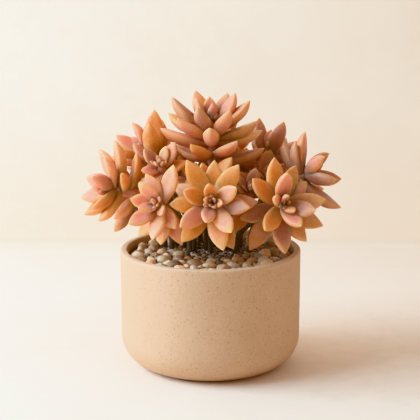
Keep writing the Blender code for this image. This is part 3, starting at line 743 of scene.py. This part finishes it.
def pot_profile():
    """Radius and height from the underside over the lip to the inside of the floor."""
    low = pot_outer_radius(POT_BASE_ROUND)
    low_lip = POT_HEIGHT - LIP_ROUND
    inner_round = POT_BASE_ROUND - POT_WALL
    foot = arc(low - POT_BASE_ROUND, POT_BASE_ROUND, POT_BASE_ROUND, -90, 0, FOOT_STEPS)
    outside = arc(POT_RADIUS - LIP_ROUND, low_lip, LIP_ROUND, 0, 90, LIP_STEPS)
    inside = arc(POT_RADIUS - POT_WALL + LIP_ROUND, low_lip, LIP_ROUND, 90, 180, LIP_STEPS)
    rim = np.vstack((outside, inside))
    centre = low - POT_WALL - inner_round, POT_FLOOR + inner_round
    corner = arc(*centre, inner_round, 0, -90, CORNER_STEPS)
    ends = (0.0, 0.0), foot[0], foot[-1], rim[0], rim[-1], corner[0], corner[-1], (0.0, POT_FLOOR)
    runs = [run(*ends[2 * i:2 * i + 2], steps) for i, steps in enumerate(RUN_STEPS)]
    return np.vstack((runs[0], foot, runs[1], rim, runs[2], corner, runs[3]))


def build_pot(finish):
    """The pot: its profile turned about the axis, with a slow hand-made wobble in its radius.

    The wobble grows with the height and only goes inwards: a wave with two
    crests round the pot, and a weaker one with three, which slants.
    """
    profile = pot_profile()
    around = full_turn(POT_AROUND)
    height = profile[:, 1, None] / POT_HEIGHT
    second = SECOND_WOBBLE * (np.sin(3 * around + WOBBLE_SLANT * height) - 1)
    wobble = POT_WOBBLE * (np.sin(2 * around + WOBBLE_TURN) - 1 + second)
    radius = profile[:, 0, None] + wobble * height * (profile[:, 0, None] / POT_RADIUS)
    z = np.broadcast_to(profile[:, 1, None], radius.shape)
    rings = np.stack((radius * np.cos(around), radius * np.sin(around), z), -1)
    skin = Skin()
    skin.add_tube(rings, (0.0, 0.0, 0.0), (0.0, 0.0, POT_FLOOR))
    skin.piece("pot_ceramic", finish, "ceramic", "pot")


def build_stem(name, shoot, finish, draw):
    """A bare stem: a tube on the model's own curve, ringed by the scars of fallen leaves.

    The radius falls from foot to top. Each scar is a narrow swelling, a high
    power of a cosine of the length along the stem, which slants round it. The
    points carry their share of the length and the scar.
    """
    rise = stem_path(shoot, np.linspace(0, 1, STEM_RINGS))
    path = np.vstack(((*shoot.foot, STEM_FOOT_Z), rise))
    steps = np.linalg.norm(np.diff(path, axis=0), axis=1)
    along = np.concatenate(((0.0,), np.cumsum(steps)))[:, None]
    around = full_turn(STEM_AROUND)
    slant = SCAR_SLANT * np.sin(around + along / SLANT_RUN) + draw.uniform(0, SCAR_SPACING)
    scar = np.cos(math.pi * (along + slant) / SCAR_SPACING) ** SCAR_SHARPNESS
    taper = between((STEM_RADIUS_FOOT, STEM_RADIUS_TOP), along / along[-1])
    radius = taper + SCAR_HEIGHT * scar + STEM_RIDGES * np.sin(3 * around + along / RIDGE_RUN)
    rings = swept(path, radius, STEM_AROUND)
    place = np.stack(np.broadcast_arrays(along / along[-1], scar, 0.0), -1)
    skin = Skin()
    skin.add_tube(rings, path[0], path[-1], stem_place=place)
    skin.piece("stem_bark_" + name, finish, "stem", "stem_" + name)


def bud_rows(shoot, draw):
    """Rows for the youngest leaves, which close round the tip of the shoot."""
    rows = []
    for i in range(BUD_LEAVES):
        share = i / (BUD_LEAVES - 1)
        around = GOLDEN_ANGLE * i + draw.uniform(0, BUD_TURN)
        seen = seen_about(shoot.axis, math.radians(between(BUD_POLAR, share)), around)
        rows.append((*seen, between(BUD_LENGTH, share), BUD_DEPTH * share))
    return rows


def build_rosette(name, shoot, leaves, finish, draw):
    """A leafy shoot: every leaf of the model as a full fleshy surface, the bud and the core.

    Each leaf carries how light it is, which is partly painted light and shade,
    its tone's place on the colour ramp and its age, which is its depth below the
    crown. A leaf without a letter draws
    its tone. The core is a tube that swells from the stem to the leaves and
    narrows to the bud.
    """
    skin = Skin()
    buds = [Leaf(shoot, row) for row in bud_rows(shoot, draw)]
    for i, leaf in enumerate(leaves + buds):
        grid = LEAF_GRID if i < len(leaves) else BUD_GRID
        rings, root, tip, place = leaf.surface(grid, draw)
        if i < len(shoot.tones):
            tone, light = LEAF_TONES[shoot.tones[i]] + draw.normal(0, TONE_SPREAD, 2)
        else:
            tone, light = draw.normal(*RULE_TONE), draw.uniform(*RULE_LIGHT)
        kind = np.clip((light, tone, leaf.down / shoot.depth), 0, 1)
        skin.add_tube(rings, root, tip, leaf_place=place, leaf_kind=kind)
    ends = (CORE_TAIL + shoot.depth, CORE_NECK + shoot.depth, shoot.depth, CORE_TIP, -CORE_TIP)
    down = np.linspace(ends[0], ends[-1], CORE_STEPS)
    radius = np.interp(-down, np.negative(ends), CORE_PROFILE)[:, None] * np.ones(CORE_AROUND)
    path = shoot.crown - down[:, None] * shoot.axis
    rings = swept(path, radius, CORE_AROUND)
    skin.add_tube(rings, path[0], path[-1], leaf_place=np.zeros(3), leaf_kind=CORE_KIND)
    skin.piece("leaves_" + name, finish, "leaf", "rosette_" + name)


def rounded_stones(places, radii, flat, grid, draw):
    """Rings of many worn stones, and the two points that close each.

    Each stone is a ball whose radius three slow waves change, then squashed,
    tilted and turned.
    """
    count = len(places)
    rows, sides = grid
    polar = math.pi * (np.arange(rows)[:, None] + 1) / (rows + 1)
    around = full_turn(sides)
    ball = np.stack(np.broadcast_arrays(
        np.sin(polar) * np.cos(around), np.sin(polar) * np.sin(around), np.cos(polar)
    ), -1)
    every = np.concatenate((ball.reshape(-1, 3), ((0, 0, 1), (0, 0, -1))))
    waves = draw.normal(0, STONE_WAVES, (count, 3, 3))
    phases = draw.uniform(0, 2 * math.pi, (count, 3))
    swell = np.sin(np.einsum("pk,nwk->npw", every, waves) + phases[:, None]).sum(-1)
    squash = np.stack((np.ones(count), draw.uniform(*STONE_BROAD, count), flat), -1)
    shape = every * (1 + STONE_SWELL * swell)[..., None] * squash[:, None] * radii[:, None, None]
    tilt, turn = draw.normal(0, STONE_TILT, count), draw.uniform(0, 2 * math.pi, count)
    ct, st, cr, sr = np.cos(tilt), np.sin(tilt), np.cos(turn), np.sin(turn)
    zero, one = np.zeros(count), np.ones(count)
    lean = np.array(((ct, zero, st), (zero, one, zero), (-st, zero, ct)))
    spin = np.array(((cr, -sr, zero), (sr, cr, zero), (zero, zero, one)))
    shape = np.einsum("abn,bcn,npc->npa", spin, lean, shape) + places[:, None]
    return shape[:, :-2].reshape(count, rows, sides, 3), shape[:, -2], shape[:, -1]


def coarseness(x, y):
    """How coarse the gravel is at a place: 0 under the plant, 1 out by the wall.

    The distance from the plant's middle gives a ramp, which a cubic eases.
    """
    away = np.hypot(x - COARSE_CENTRE[0], y - COARSE_CENTRE[1])
    share = np.clip((away - COARSE_REACH[0]) / (COARSE_REACH[1] - COARSE_REACH[0]), 0, 1)
    return share * share * (3 - 2 * share)


def scatter_pebbles(feet, draw):
    """Places and radii of pebbles thrown one by one, kept where they fit between the others."""
    reach = inner_radius(GRAVEL_BED_TOP) - PEBBLE_WALL_GAP
    places, radii = np.zeros((0, 3)), np.zeros(0)
    for attempt in range(PEBBLE_TRIES):
        angle, share = draw.uniform(0, 2 * math.pi), draw.uniform()
        away = reach * math.sqrt(share)
        x, y = away * math.cos(angle), away * math.sin(angle)
        coarse = between((PEBBLE_FINEST, 1.0), float(coarseness(x, y)))
        largest = PEBBLE_LARGEST * coarse * (1 - PEBBLE_DWINDLE * attempt / PEBBLE_TRIES)
        radius = draw.uniform(*PEBBLE_SPREAD) * largest
        to_stem = np.hypot(*(feet - (x, y)).T).min()
        if away + radius * PEBBLE_INSIDE > reach or to_stem < radius + PEBBLE_STEM_GAP:
            continue
        gaps = np.hypot(places[:, 0] - x, places[:, 1] - y) - PEBBLE_APART * (radii + radius)
        if gaps.min(initial=1.0) < 0:
            continue
        settled = PEBBLE_SETTLE * (PEBBLE_LARGEST - radius)
        z = GRAVEL_BED_TOP - PEBBLE_SUNK + draw.normal(0, PEBBLE_UNEVEN) - settled
        places, radii = np.vstack((places, (x, y, z))), np.append(radii, radius)
    return places, radii


def build_bed(reach, finish):
    """The bed of dark grit under the grains: a disc with a flat underside and a bumpy top.

    The bumps are two sine waves at right angles, multiplied, and each is bent
    by a wave that runs across it.
    """
    under = np.linspace(*BED_UNDERSIDE)
    share = np.concatenate((under, np.linspace(1.0, BED_MIDDLE, BED_GRID[0])))[:, None]
    around = full_turn(BED_GRID[1])
    x, y = reach * share * np.cos(around), reach * share * np.sin(around)
    along_x = np.sin(x / BED_WAVES[0] + BED_BEND * np.sin(y / BED_BENDS[0]))
    along_y = np.sin(y / BED_WAVES[1] + BED_BEND * np.sin(x / BED_BENDS[1]))
    bottom, top = SOIL_TOP + FIT_GAP, GRAVEL_BED_TOP - BED_SUNK + BED_ROUGHNESS * along_x * along_y
    z = np.where(np.arange(len(share))[:, None] < len(under), bottom, top)
    skin = Skin()
    skin.add_tube(np.stack((x, y, z), -1), (0.0, 0.0, bottom), (0.0, 0.0, top[-1, 0]))
    skin.piece("gravel_bed", finish, "gravel", "gravel")


def build_stones(name, places, radii, flat, kind, grid, finish, draw):
    """One piece of many stones, each of which carries its kind: its colour's place, tone and polish."""
    rings, first, last = rounded_stones(places, radii, flat, grid, draw)
    skin = Skin()
    skin.add(rings, first, last, stone_kind=kind[:, None, None])
    skin.piece(name, finish, "gravel", "gravel")


def build_gravel(shoots, finishes):
    """The gravel: a bed of dark grit, the pebbles that lie in it and the grains between them."""
    draw = np.random.default_rng(GRAVEL_SEED)
    reach = inner_radius(GRAVEL_BED_TOP) - FIT_GAP
    build_bed(reach, finishes["grit_bed"])

    places, radii = scatter_pebbles(np.array([shoot.foot for shoot in shoots.values()], float), draw)
    flat = draw.uniform(*PEBBLE_FLAT, len(places))
    kind = draw.uniform(size=(len(places), 3))
    # Pebbles under the plant get a lower tone: painted shade of the plant
    kind[:, 1] *= between((PEBBLE_PAINTED_SHADE, 1.0), coarseness(places[:, 0], places[:, 1]))
    build_stones("pebbles", places, radii, flat, kind, PEBBLE_GRID, finishes["pebble"], draw)

    angle, share = draw.uniform(0, 2 * math.pi, GRIT_COUNT), draw.uniform(0, 1, GRIT_COUNT)
    away = (reach - GRIT_WALL_GAP) * share ** GRIT_CROWDING
    x, y = away * np.cos(angle), away * np.sin(angle)
    radii = draw.uniform(*GRIT_RADIUS, GRIT_COUNT)
    heap = draw.uniform(0, GRIT_HEAP, GRIT_COUNT) * (1 - GRIT_THINNING * coarseness(x, y))
    places = np.stack((x, y, GRAVEL_BED_TOP - GRIT_SUNK + heap), 1)
    kind = draw.uniform(size=(GRIT_COUNT, 3))
    flat = draw.uniform(*GRIT_FLAT, GRIT_COUNT)
    build_stones("grit", places, radii, flat, kind, GRIT_GRID, finishes["grit"], draw)


class Wiring:
    """Short ways to put and join shader nodes in one node tree."""

    def __init__(self, tree):
        self.tree = tree
        self.place = None

    def put(self, kind, feeds=None, **settings):
        """A new node with its settings, and its inputs joined or set."""
        node = self.tree.nodes.new(kind)
        for key, value in settings.items():
            setattr(node, key, value)
        for key, value in (feeds or {}).items():
            self.feed(node.inputs[key], value)
        return node

    def feed(self, socket, value):
        """Join an output to the input socket, or write a number, a vector or a colour into it."""
        if isinstance(value, bpy.types.NodeSocket):
            self.tree.links.new(value, socket)
        else:
            socket.default_value = (*value, 1.0) if socket.type == "RGBA" else value

    def calc(self, operation, *values, clamped=False):
        """A Math node's result, kept between 0 and 1 where it is clamped."""
        feeds = dict(enumerate(values))
        return self.put("ShaderNodeMath", feeds, operation=operation, use_clamp=clamped).outputs[0]

    def times(self, first, second):
        """Two numbers multiplied."""
        return self.calc("MULTIPLY", first, second)

    def line(self, value, slope, start, clamped=False):
        """A value times a slope, added to a start."""
        return self.calc("MULTIPLY_ADD", value, slope, start, clamped=clamped)

    def ease(self, value, low, high):
        """A mask that eases from 0 at the low value to 1 at the high one."""
        feeds = {"Value": value, "From Min": low, "From Max": high}
        return self.put("ShaderNodeMapRange", feeds, interpolation_type="SMOOTHSTEP").outputs[0]

    def blend(self, mask, first, second):
        """Two colours blended by a mask."""
        return self.put("ShaderNodeMix", {0: mask, 6: first, 7: second}, data_type="RGBA").outputs[2]

    def noise(self, scale, detail=3.0, roughness=0.55):
        """Soft noise from 0 to 1 at so many cells to the metre."""
        feeds = {"Vector": self.place, "Scale": scale, "Detail": detail, "Roughness": roughness}
        return self.put("ShaderNodeTexNoise", feeds).outputs["Fac"]

    def ramp(self, value, stops):
        """A colour picked along a value by its stops, each a place and a colour."""
        node = self.put("ShaderNodeValToRGB", {"Fac": value})
        elements = node.color_ramp.elements
        while len(elements) < len(stops):
            elements.new(0.5)
        for element, (position, colour) in zip(elements, stops):
            element.position = position
            element.color = (*colour, 1.0)
        return node.outputs["Color"]

    def split(self, vector):
        """The three numbers of a vector."""
        return self.put("ShaderNodeSeparateXYZ", {"Vector": vector}).outputs


class Group(Wiring):
    """An empty node group with the sockets that it is given and gives out."""

    def __init__(self, name, inputs, outputs):
        super().__init__(bpy.data.node_groups.new(name, "ShaderNodeTree"))
        for key in inputs:
            kind = "NodeSocketVector" if key == "Place" else "NodeSocketFloat"
            self.tree.interface.new_socket(name=key, in_out="INPUT", socket_type=kind)
        for key in outputs:
            self.tree.interface.new_socket(name=key, in_out="OUTPUT", socket_type="NodeSocketFloat")
        self.given = self.put("NodeGroupInput").outputs
        self.out = self.put("NodeGroupOutput").inputs
        self.place = self.given["Place"]


def make_mottling():
    """A shared group for soft patches: broad noise with finer noise over it, eased about its middle."""
    wires = Group("mottling", ("Place", "Scale", "Width"), ("Mask",))
    scale, width = wires.given["Scale"], wires.given["Width"]
    broad = wires.noise(scale, detail=2.0)
    fine = wires.noise(wires.times(scale, 4.3))
    mixed = wires.line(fine, 0.35, wires.times(broad, 0.65))
    mask = wires.ease(mixed, wires.calc("SUBTRACT", 0.5, width), wires.calc("ADD", 0.5, width))
    wires.feed(wires.out["Mask"], mask)


def make_specks():
    """A shared group for round specks: some cells of a Voronoi pattern hold one each, with its tone."""
    wires = Group("specks", ("Place", "Scale", "Share", "Size"), ("Mask", "Tone"))
    feeds = {"Vector": wires.place, "Scale": wires.given["Scale"]}
    cells = wires.put("ShaderNodeTexVoronoi", feeds).outputs
    pick = wires.put("ShaderNodeSeparateColor", {"Color": cells["Color"]}).outputs
    chosen = wires.calc("LESS_THAN", pick[0], wires.given["Share"])
    reach = wires.times(wires.given["Size"], wires.line(pick[1], 0.7, 0.3))
    outside = wires.ease(cells["Distance"], wires.times(reach, 0.6), reach)
    wires.feed(wires.out["Mask"], wires.times(wires.calc("SUBTRACT", 1.0, outside), chosen))
    wires.feed(wires.out["Tone"], pick[2])


class Finish(Wiring):
    """A new material, wired at its Object coordinates into its Principled shader.

    It has a colour so far, over which the colours of its table are laid.
    """

    def __init__(self, name, colours):
        self.material = bpy.data.materials.new(name)
        self.material.use_nodes = True
        super().__init__(self.material.node_tree)
        self.shader = self.tree.nodes["Principled BSDF"]
        self.place = self.put("ShaderNodeTexCoord").outputs["Object"]
        self.colours = colours
        self.colour = None

    def give(self, name, value):
        """Join or write one of the shader's inputs."""
        self.feed(self.shader.inputs[name], value)

    def carried(self, name):
        """The three numbers that the points carry under a name."""
        return self.split(self.put("ShaderNodeAttribute", attribute_name=name).outputs["Vector"])

    def shared(self, name, **feeds):
        """The outputs of a shared group at the material's place."""
        group = bpy.data.node_groups[name]
        return self.put("ShaderNodeGroup", {"Place": self.place, **feeds}, node_tree=group).outputs

    def mottled(self, scale, width):
        """A mask of soft patches at so many cells to the metre, with edges that wide."""
        return self.shared("mottling", Scale=scale, Width=width)["Mask"]

    def specks(self, scale, share, size):
        """The mask and tone of specks in a share of the cells, of a size in cells."""
        return self.shared("specks", Scale=scale, Share=share, Size=size)

    def begin(self, mask, first, second):
        """Start with two colours of the table, blended by a mask."""
        self.colour = self.blend(mask, self.colours[first], self.colours[second])

    def lay(self, name, mask, strength):
        """Lay a colour of the table over the colour so far, by a mask that the strength weakens."""
        self.colour = self.blend(self.times(mask, strength), self.colour, self.colours[name])

    def shade(self, factor):
        """Make the colour so far darker or lighter by a factor."""
        feeds = {0: self.colour, "Scale": factor}
        self.colour = self.put("ShaderNodeVectorMath", feeds, operation="SCALE").outputs[0]

    def done(self, roughness, height, depth):
        """Join the colour, a roughness and a bump whose height of 1 stands for a depth in metres."""
        bump = self.put("ShaderNodeBump", {"Height": height, "Distance": depth})
        self.give("Base Color", self.colour)
        self.give("Roughness", roughness)
        self.give("Normal", bump.outputs["Normal"])
        return self.material


def leaf_finish():
    """Waxy leaf: a body by the leaf's tone, a dark root that is partly painted shade, golden tip and
    margin, mottling, pale bloom.
    """
    wax = Finish("waxy leaf", LEAF_COLOURS)
    t, across, upper = wax.carried("leaf_place")
    light, tone, age = wax.carried("leaf_kind")
    patches = wax.mottled(scale=130.0, width=0.22)
    drift = wax.mottled(scale=55.0, width=0.28)
    body = wax.line(wax.calc("SUBTRACT", drift, 0.5), 0.30, tone)
    body = wax.line(wax.calc("SUBTRACT", patches, 0.5), 0.20, body, clamped=True)
    wax.colour = wax.ramp(body, LEAF_STOPS)
    wax.lay("underside", wax.ease(upper, 0.1, -0.9), 0.12)
    margin = wax.ease(wax.line(patches, 0.25, wax.calc("ABSOLUTE", across)), 0.66, 1.12)
    margin = wax.times(margin, wax.ease(t, 0.15, 0.55))
    tip = wax.ease(wax.line(patches, 0.14, t), 0.74, 1.08)
    grown = wax.line(wax.ease(age, 0.0, 0.12), 0.52, 0.20)
    wax.lay("gold", wax.calc("MAXIMUM", wax.times(margin, 0.75), tip), grown)
    # A darker base, partly the leaf's own mauve to olive root and partly painted shade where the leaves
    # crowd together; older and lighter leaves get less of it
    root = wax.ease(wax.line(drift, -0.22, t), 0.68, 0.06)
    root = wax.times(wax.times(root, wax.line(age, -0.45, 0.90)), wax.line(light, -0.35, 1.0))
    root_shade_colour = wax.blend(tone, LEAF_COLOURS["mauve root"], LEAF_COLOURS["golden root"])
    wax.colour = wax.blend(root, wax.colour, root_shade_colour)
    # Young leaves darker toward their root: partly their own mauve and partly painted shade in the
    # heart of the rosette
    wax.lay("young", wax.times(wax.ease(age, 0.14, 0.0), wax.ease(t, 0.95, 0.35)), 0.65)
    dust = wax.noise(620.0, detail=4.0, roughness=0.65)
    # Each leaf's lightness scales its colour, with fine dust: partly its own tone and partly painted
    # light and shade by the side of the plant it is on
    wax.shade(wax.line(light, 0.34, wax.line(dust, 0.34, 0.53)))
    wax.lay("mark", wax.specks(scale=260.0, share=0.06, size=0.22)["Mask"], 0.35)
    wax.lay("bloom", wax.calc("SUBTRACT", 1.0, patches), 0.14)
    wax.give("Subsurface Weight", 0.65)
    wax.give("Subsurface Radius", (1.0, 0.60, 0.40))
    wax.give("Subsurface Scale", 0.0055)
    wax.give("IOR", 1.42)
    fine = wax.noise(1500.0, detail=2.0)
    roughness = wax.line(patches, 0.10, wax.line(fine, 0.12, 0.34))
    return wax.done(roughness, wax.line(patches, 0.8, wax.times(fine, 0.2)), 0.0003)


def stem_finish():
    """Stem skin: olive green above, brown cork toward the foot and darker there as painted shade, paler
    on the scars.
    """
    bark = Finish("stem skin", STEM_COLOURS)
    along, scar, _ = bark.carried("stem_place")
    patches = bark.mottled(scale=260.0, width=0.16)
    # Darker brown toward the foot: partly cork bark, partly painted shade under the plant
    cork_and_shade = bark.ease(bark.line(patches, -0.20, along), 0.85, 0.45)
    bark.begin(cork_and_shade, "olive", "cork")
    bark.lay("scar", scar, bark.line(cork_and_shade, -0.3, 0.4))
    bark.lay("blotch", patches, 0.25)
    bark.give("Subsurface Weight", 0.08)
    bark.give("Subsurface Scale", 0.0015)
    grain = bark.noise(1400.0, detail=4.0)
    height = bark.line(patches, 0.5, bark.times(grain, 0.5))
    return bark.done(bark.line(cork_and_shade, 0.25, 0.5), height, 0.0005)


def ceramic_finish():
    """Matte stoneware: sandy beige with slow clouds, brown iron specks, pin pits and a paler lip, which
    is a painted highlight.
    """
    clay = Finish("speckled stoneware", POT_COLOURS)
    clay.begin(clay.mottled(scale=38.0, width=0.25), "clay", "pale clay")
    grain = clay.noise(1150.0, detail=4.0, roughness=0.65)
    sand = clay.ease(grain, 0.34, 0.66)
    clay.lay("sand", sand, 0.40)
    # A paler band along the top of the lip: a painted highlight
    lip = clay.ease(clay.split(clay.place)["Z"], (POT_HEIGHT - 3.2) * MM, (POT_HEIGHT - 0.6) * MM)
    clay.lay("lip", lip, 0.12)
    small = clay.specks(scale=520.0, share=0.62, size=0.42)
    large = clay.specks(scale=260.0, share=0.30, size=0.24)
    specks = clay.calc("MAXIMUM", clay.times(small["Mask"], 0.44), clay.times(large["Mask"], 0.5))
    speck_colour = clay.blend(small["Tone"], POT_COLOURS["iron"], POT_COLOURS["rust"])
    clay.colour = clay.blend(specks, clay.colour, speck_colour)
    height = clay.line(specks, -0.5, clay.times(grain, 0.5))
    return clay.done(clay.line(sand, 0.12, 0.68), height, 0.00022)


def stone_finish(name, stops, roughness):
    """Worn stone: its colour picked for each stone, with veins, mineral specks and a soft polish."""
    stone = Finish(name, STONE_COLOURS)
    pick, tone, polish = stone.carried("stone_kind")
    patches = stone.mottled(scale=330.0, width=0.2)
    picked = stone.line(stone.calc("SUBTRACT", patches, 0.5), 0.12, pick, clamped=True)
    stone.colour = stone.ramp(picked, stops)
    # The tone scales each stone's colour: drawn at random, and for pebbles lowered under the plant as
    # painted shade
    stone.shade(stone.line(tone, 0.84, 0.60))
    feeds = {"Vector": stone.place, "Scale": 90.0, "Distortion": 6.0, "Detail": 2.0}
    bands = stone.put("ShaderNodeTexWave", feeds).outputs["Fac"]
    stone.lay("vein", stone.times(stone.ease(bands, 0.78, 1.0), stone.ease(tone, 0.5, 0.9)), 0.45)
    stone.lay("mineral", stone.specks(scale=900.0, share=0.25, size=0.35)["Mask"], 0.30)
    stone.lay("grime", patches, 0.2)
    height = stone.line(patches, 0.6, stone.times(stone.noise(2200.0), 0.4))
    return stone.done(stone.line(polish, 0.25, roughness), height, 0.0007)


def earth_finish(name, colours, scale):
    """Crumbly earth: dark crumbs with lighter fibres and a few pale grains."""
    earth = Finish(name, colours)
    crumbs = earth.mottled(scale, width=0.14)
    grains = earth.specks(scale * 1.6, share=0.12, size=0.4)["Mask"]
    earth.begin(crumbs, "dark", "light")
    earth.lay("grain", grains, 0.6)
    return earth.done(earth.line(crumbs, -0.15, 0.95), earth.line(grains, 0.5, crumbs), 0.0012)


def make_finishes():
    """Every material of the object by the name of what it covers."""
    make_mottling()
    make_specks()
    return {
        "leaf": leaf_finish(),
        "stem": stem_finish(),
        "pot": ceramic_finish(),
        "pebble": stone_finish("river pebble", PEBBLE_STOPS, roughness=0.30),
        "grit": stone_finish("mineral grit", GRIT_STOPS, roughness=0.45),
        "grit_bed": earth_finish("dark grit", GRIT_BED_COLOURS, scale=900.0),
        "soil": earth_finish("potting soil", SOIL_COLOURS, scale=420.0),
    }


def dress_soil(finish):
    """The soil keeps the model's own solid and takes the crumbly finish."""
    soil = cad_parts["soil"]
    soil.data.materials.clear()
    soil.data.materials.append(finish)


def plaster_finish(name, colours, blotches, low_warmth, glow):
    """Limewashed plaster, clouded, and warmer and darker to the right as painted shade away from the
    window, with a painted shade in the corner at the wall's foot, where the glow is dimmed too.

    The back of a sheet that glows can't be seen.
    """
    lime = Finish(name, colours)
    clouds = lime.ease(lime.noise(9.0, detail=5.0, roughness=0.62), 0.3, 0.7)
    blots = lime.ease(lime.noise(48.0, detail=6.0, roughness=0.66), 0.44, 0.66)
    aside, back, height = lime.split(lime.place)
    # Warmer and darker toward the right: painted shade falling off from the window, over real clouds
    clouds_and_side_shade = lime.line(clouds, 0.35, lime.times(lime.ease(aside, -0.25, 0.25), 0.65))
    lime.begin(clouds_and_side_shade, "pale", "warm")
    lime.lay("blot", blots, blotches)
    lime.lay("low", lime.ease(height, 0.15, 0.0), low_warmth)
    # A painted shade in the corner where the wall meets the floor, which also dims the glow there
    to_wall = lime.calc("ABSOLUTE", lime.calc("SUBTRACT", back, WALL_Y * MM))
    corner_shade = lime.ease(lime.calc("ADD", to_wall, height), 0.011, 0.001)
    lime.lay("corner_shade", corner_shade, 0.45)
    lime.give("Base Color", lime.colour)
    lime.give("Roughness", 0.85)
    lime.give("Emission Color", colours["pale"])
    lime.give("Emission Strength", lime.times(lime.line(corner_shade, -0.3, 1.0), glow))
    if glow:
        clear = lime.put("ShaderNodeBsdfTransparent").outputs[0]
        behind = lime.put("ShaderNodeNewGeometry").outputs["Backfacing"]
        mix = lime.put("ShaderNodeMixShader", {0: behind, 1: lime.shader.outputs[0], 2: clear})
        lime.feed(lime.tree.nodes["Material Output"].inputs["Surface"], mix.outputs[0])
    return lime.material


def stage_sheet(name, profile, finish):
    """A sheet of the stage, from its profile of depth and height, as wide as the stage reaches."""
    across = np.array((-STAGE_REACH, STAGE_REACH))
    points = np.stack(np.broadcast_arrays(across, profile[:, :1], profile[:, 1:]), -1)
    here = 2 * np.arange(len(profile) - 1)[:, None]
    mesh = bpy.data.meshes.new(name)
    mesh.from_pydata((points.reshape(-1, 3) * MM).tolist(), [], (here + (0, 1, 3, 2)).tolist())
    mesh.shade_smooth()
    mesh.materials.append(finish)
    sheet = put_in_scene(name, mesh)
    return sheet


def build_stage():
    """A pale floor, and a wall behind it that meets the floor in a small cove and casts no shadow."""
    ground = np.array(((-STAGE_REACH, 0.0), (STAGE_REACH, 0.0)))
    stage_sheet("floor", ground, plaster_finish("floor plaster", *FLOOR_PLASTER))
    cove = arc(WALL_Y - COVE_RADIUS, COVE_RADIUS + COVE_LIFT, COVE_RADIUS, -90, 0, 8)
    profile = np.vstack((cove, (WALL_Y, WALL_HEIGHT)))
    wall = stage_sheet("backdrop", profile, plaster_finish("wall plaster", *WALL_PLASTER))
    wall.visible_shadow = False


def add_area_light(name, place, size, power, colour):
    """A soft square light that faces the plant."""
    data = bpy.data.lights.new(name, "AREA")
    data.shape = "SQUARE"
    data.size = size
    data.energy = power
    data.color = colour
    light = put_in_scene(name, data)
    light.location = np.array(place) * MM
    light.rotation_mode = "QUATERNION"
    light.rotation_quaternion = Vector(np.subtract(LIGHT_TARGET, place)).to_track_quat("-Z", "Y")


def light_scene():
    """The lights, and a warm world in the shadows."""
    for name, (place, size, power, colour) in LIGHTS.items():
        add_area_light(name, place, size, power, colour)
    world = bpy.data.worlds.new("pale room")
    world.use_nodes = True
    background = world.node_tree.nodes["Background"].inputs
    background["Color"].default_value = (*WORLD_COLOUR, 1.0)
    background["Strength"].default_value = WORLD_STRENGTH
    bpy.context.scene.world = world
    bpy.context.scene.view_settings.view_transform = "Khronos PBR Neutral"


def aim_camera():
    """The camera at the photograph's place: the pot's outline fits it at this tilt and focal length."""
    data = bpy.data.cameras.new("camera")
    data.sensor_width = SENSOR_WIDTH
    data.lens = SENSOR_WIDTH * FOCAL_PIXELS / FRAME_PIXELS
    camera = put_in_scene("camera", data)
    camera.location = np.array(CAMERA_PLACE) * MM
    camera.rotation_euler = (math.pi / 2 - VIEW_TILT, 0.0, 0.0)
    bpy.context.scene.camera = camera


def main():
    """Set the stage, then build the pot, the gravel and every shoot in turn."""
    aim_camera()
    light_scene()
    build_stage()
    finishes = make_finishes()
    shoots = all_shoots()
    placed = place_leaves(shoots)
    build_pot(finishes["pot"])
    dress_soil(finishes["soil"])
    build_gravel(shoots, finishes)
    draw = np.random.default_rng(PLANT_SEED)
    for name, shoot in shoots.items():
        build_stem(name, shoot, finishes["stem"], draw)
        build_rosette(name, shoot, placed[name], finishes["leaf"], draw)


main()
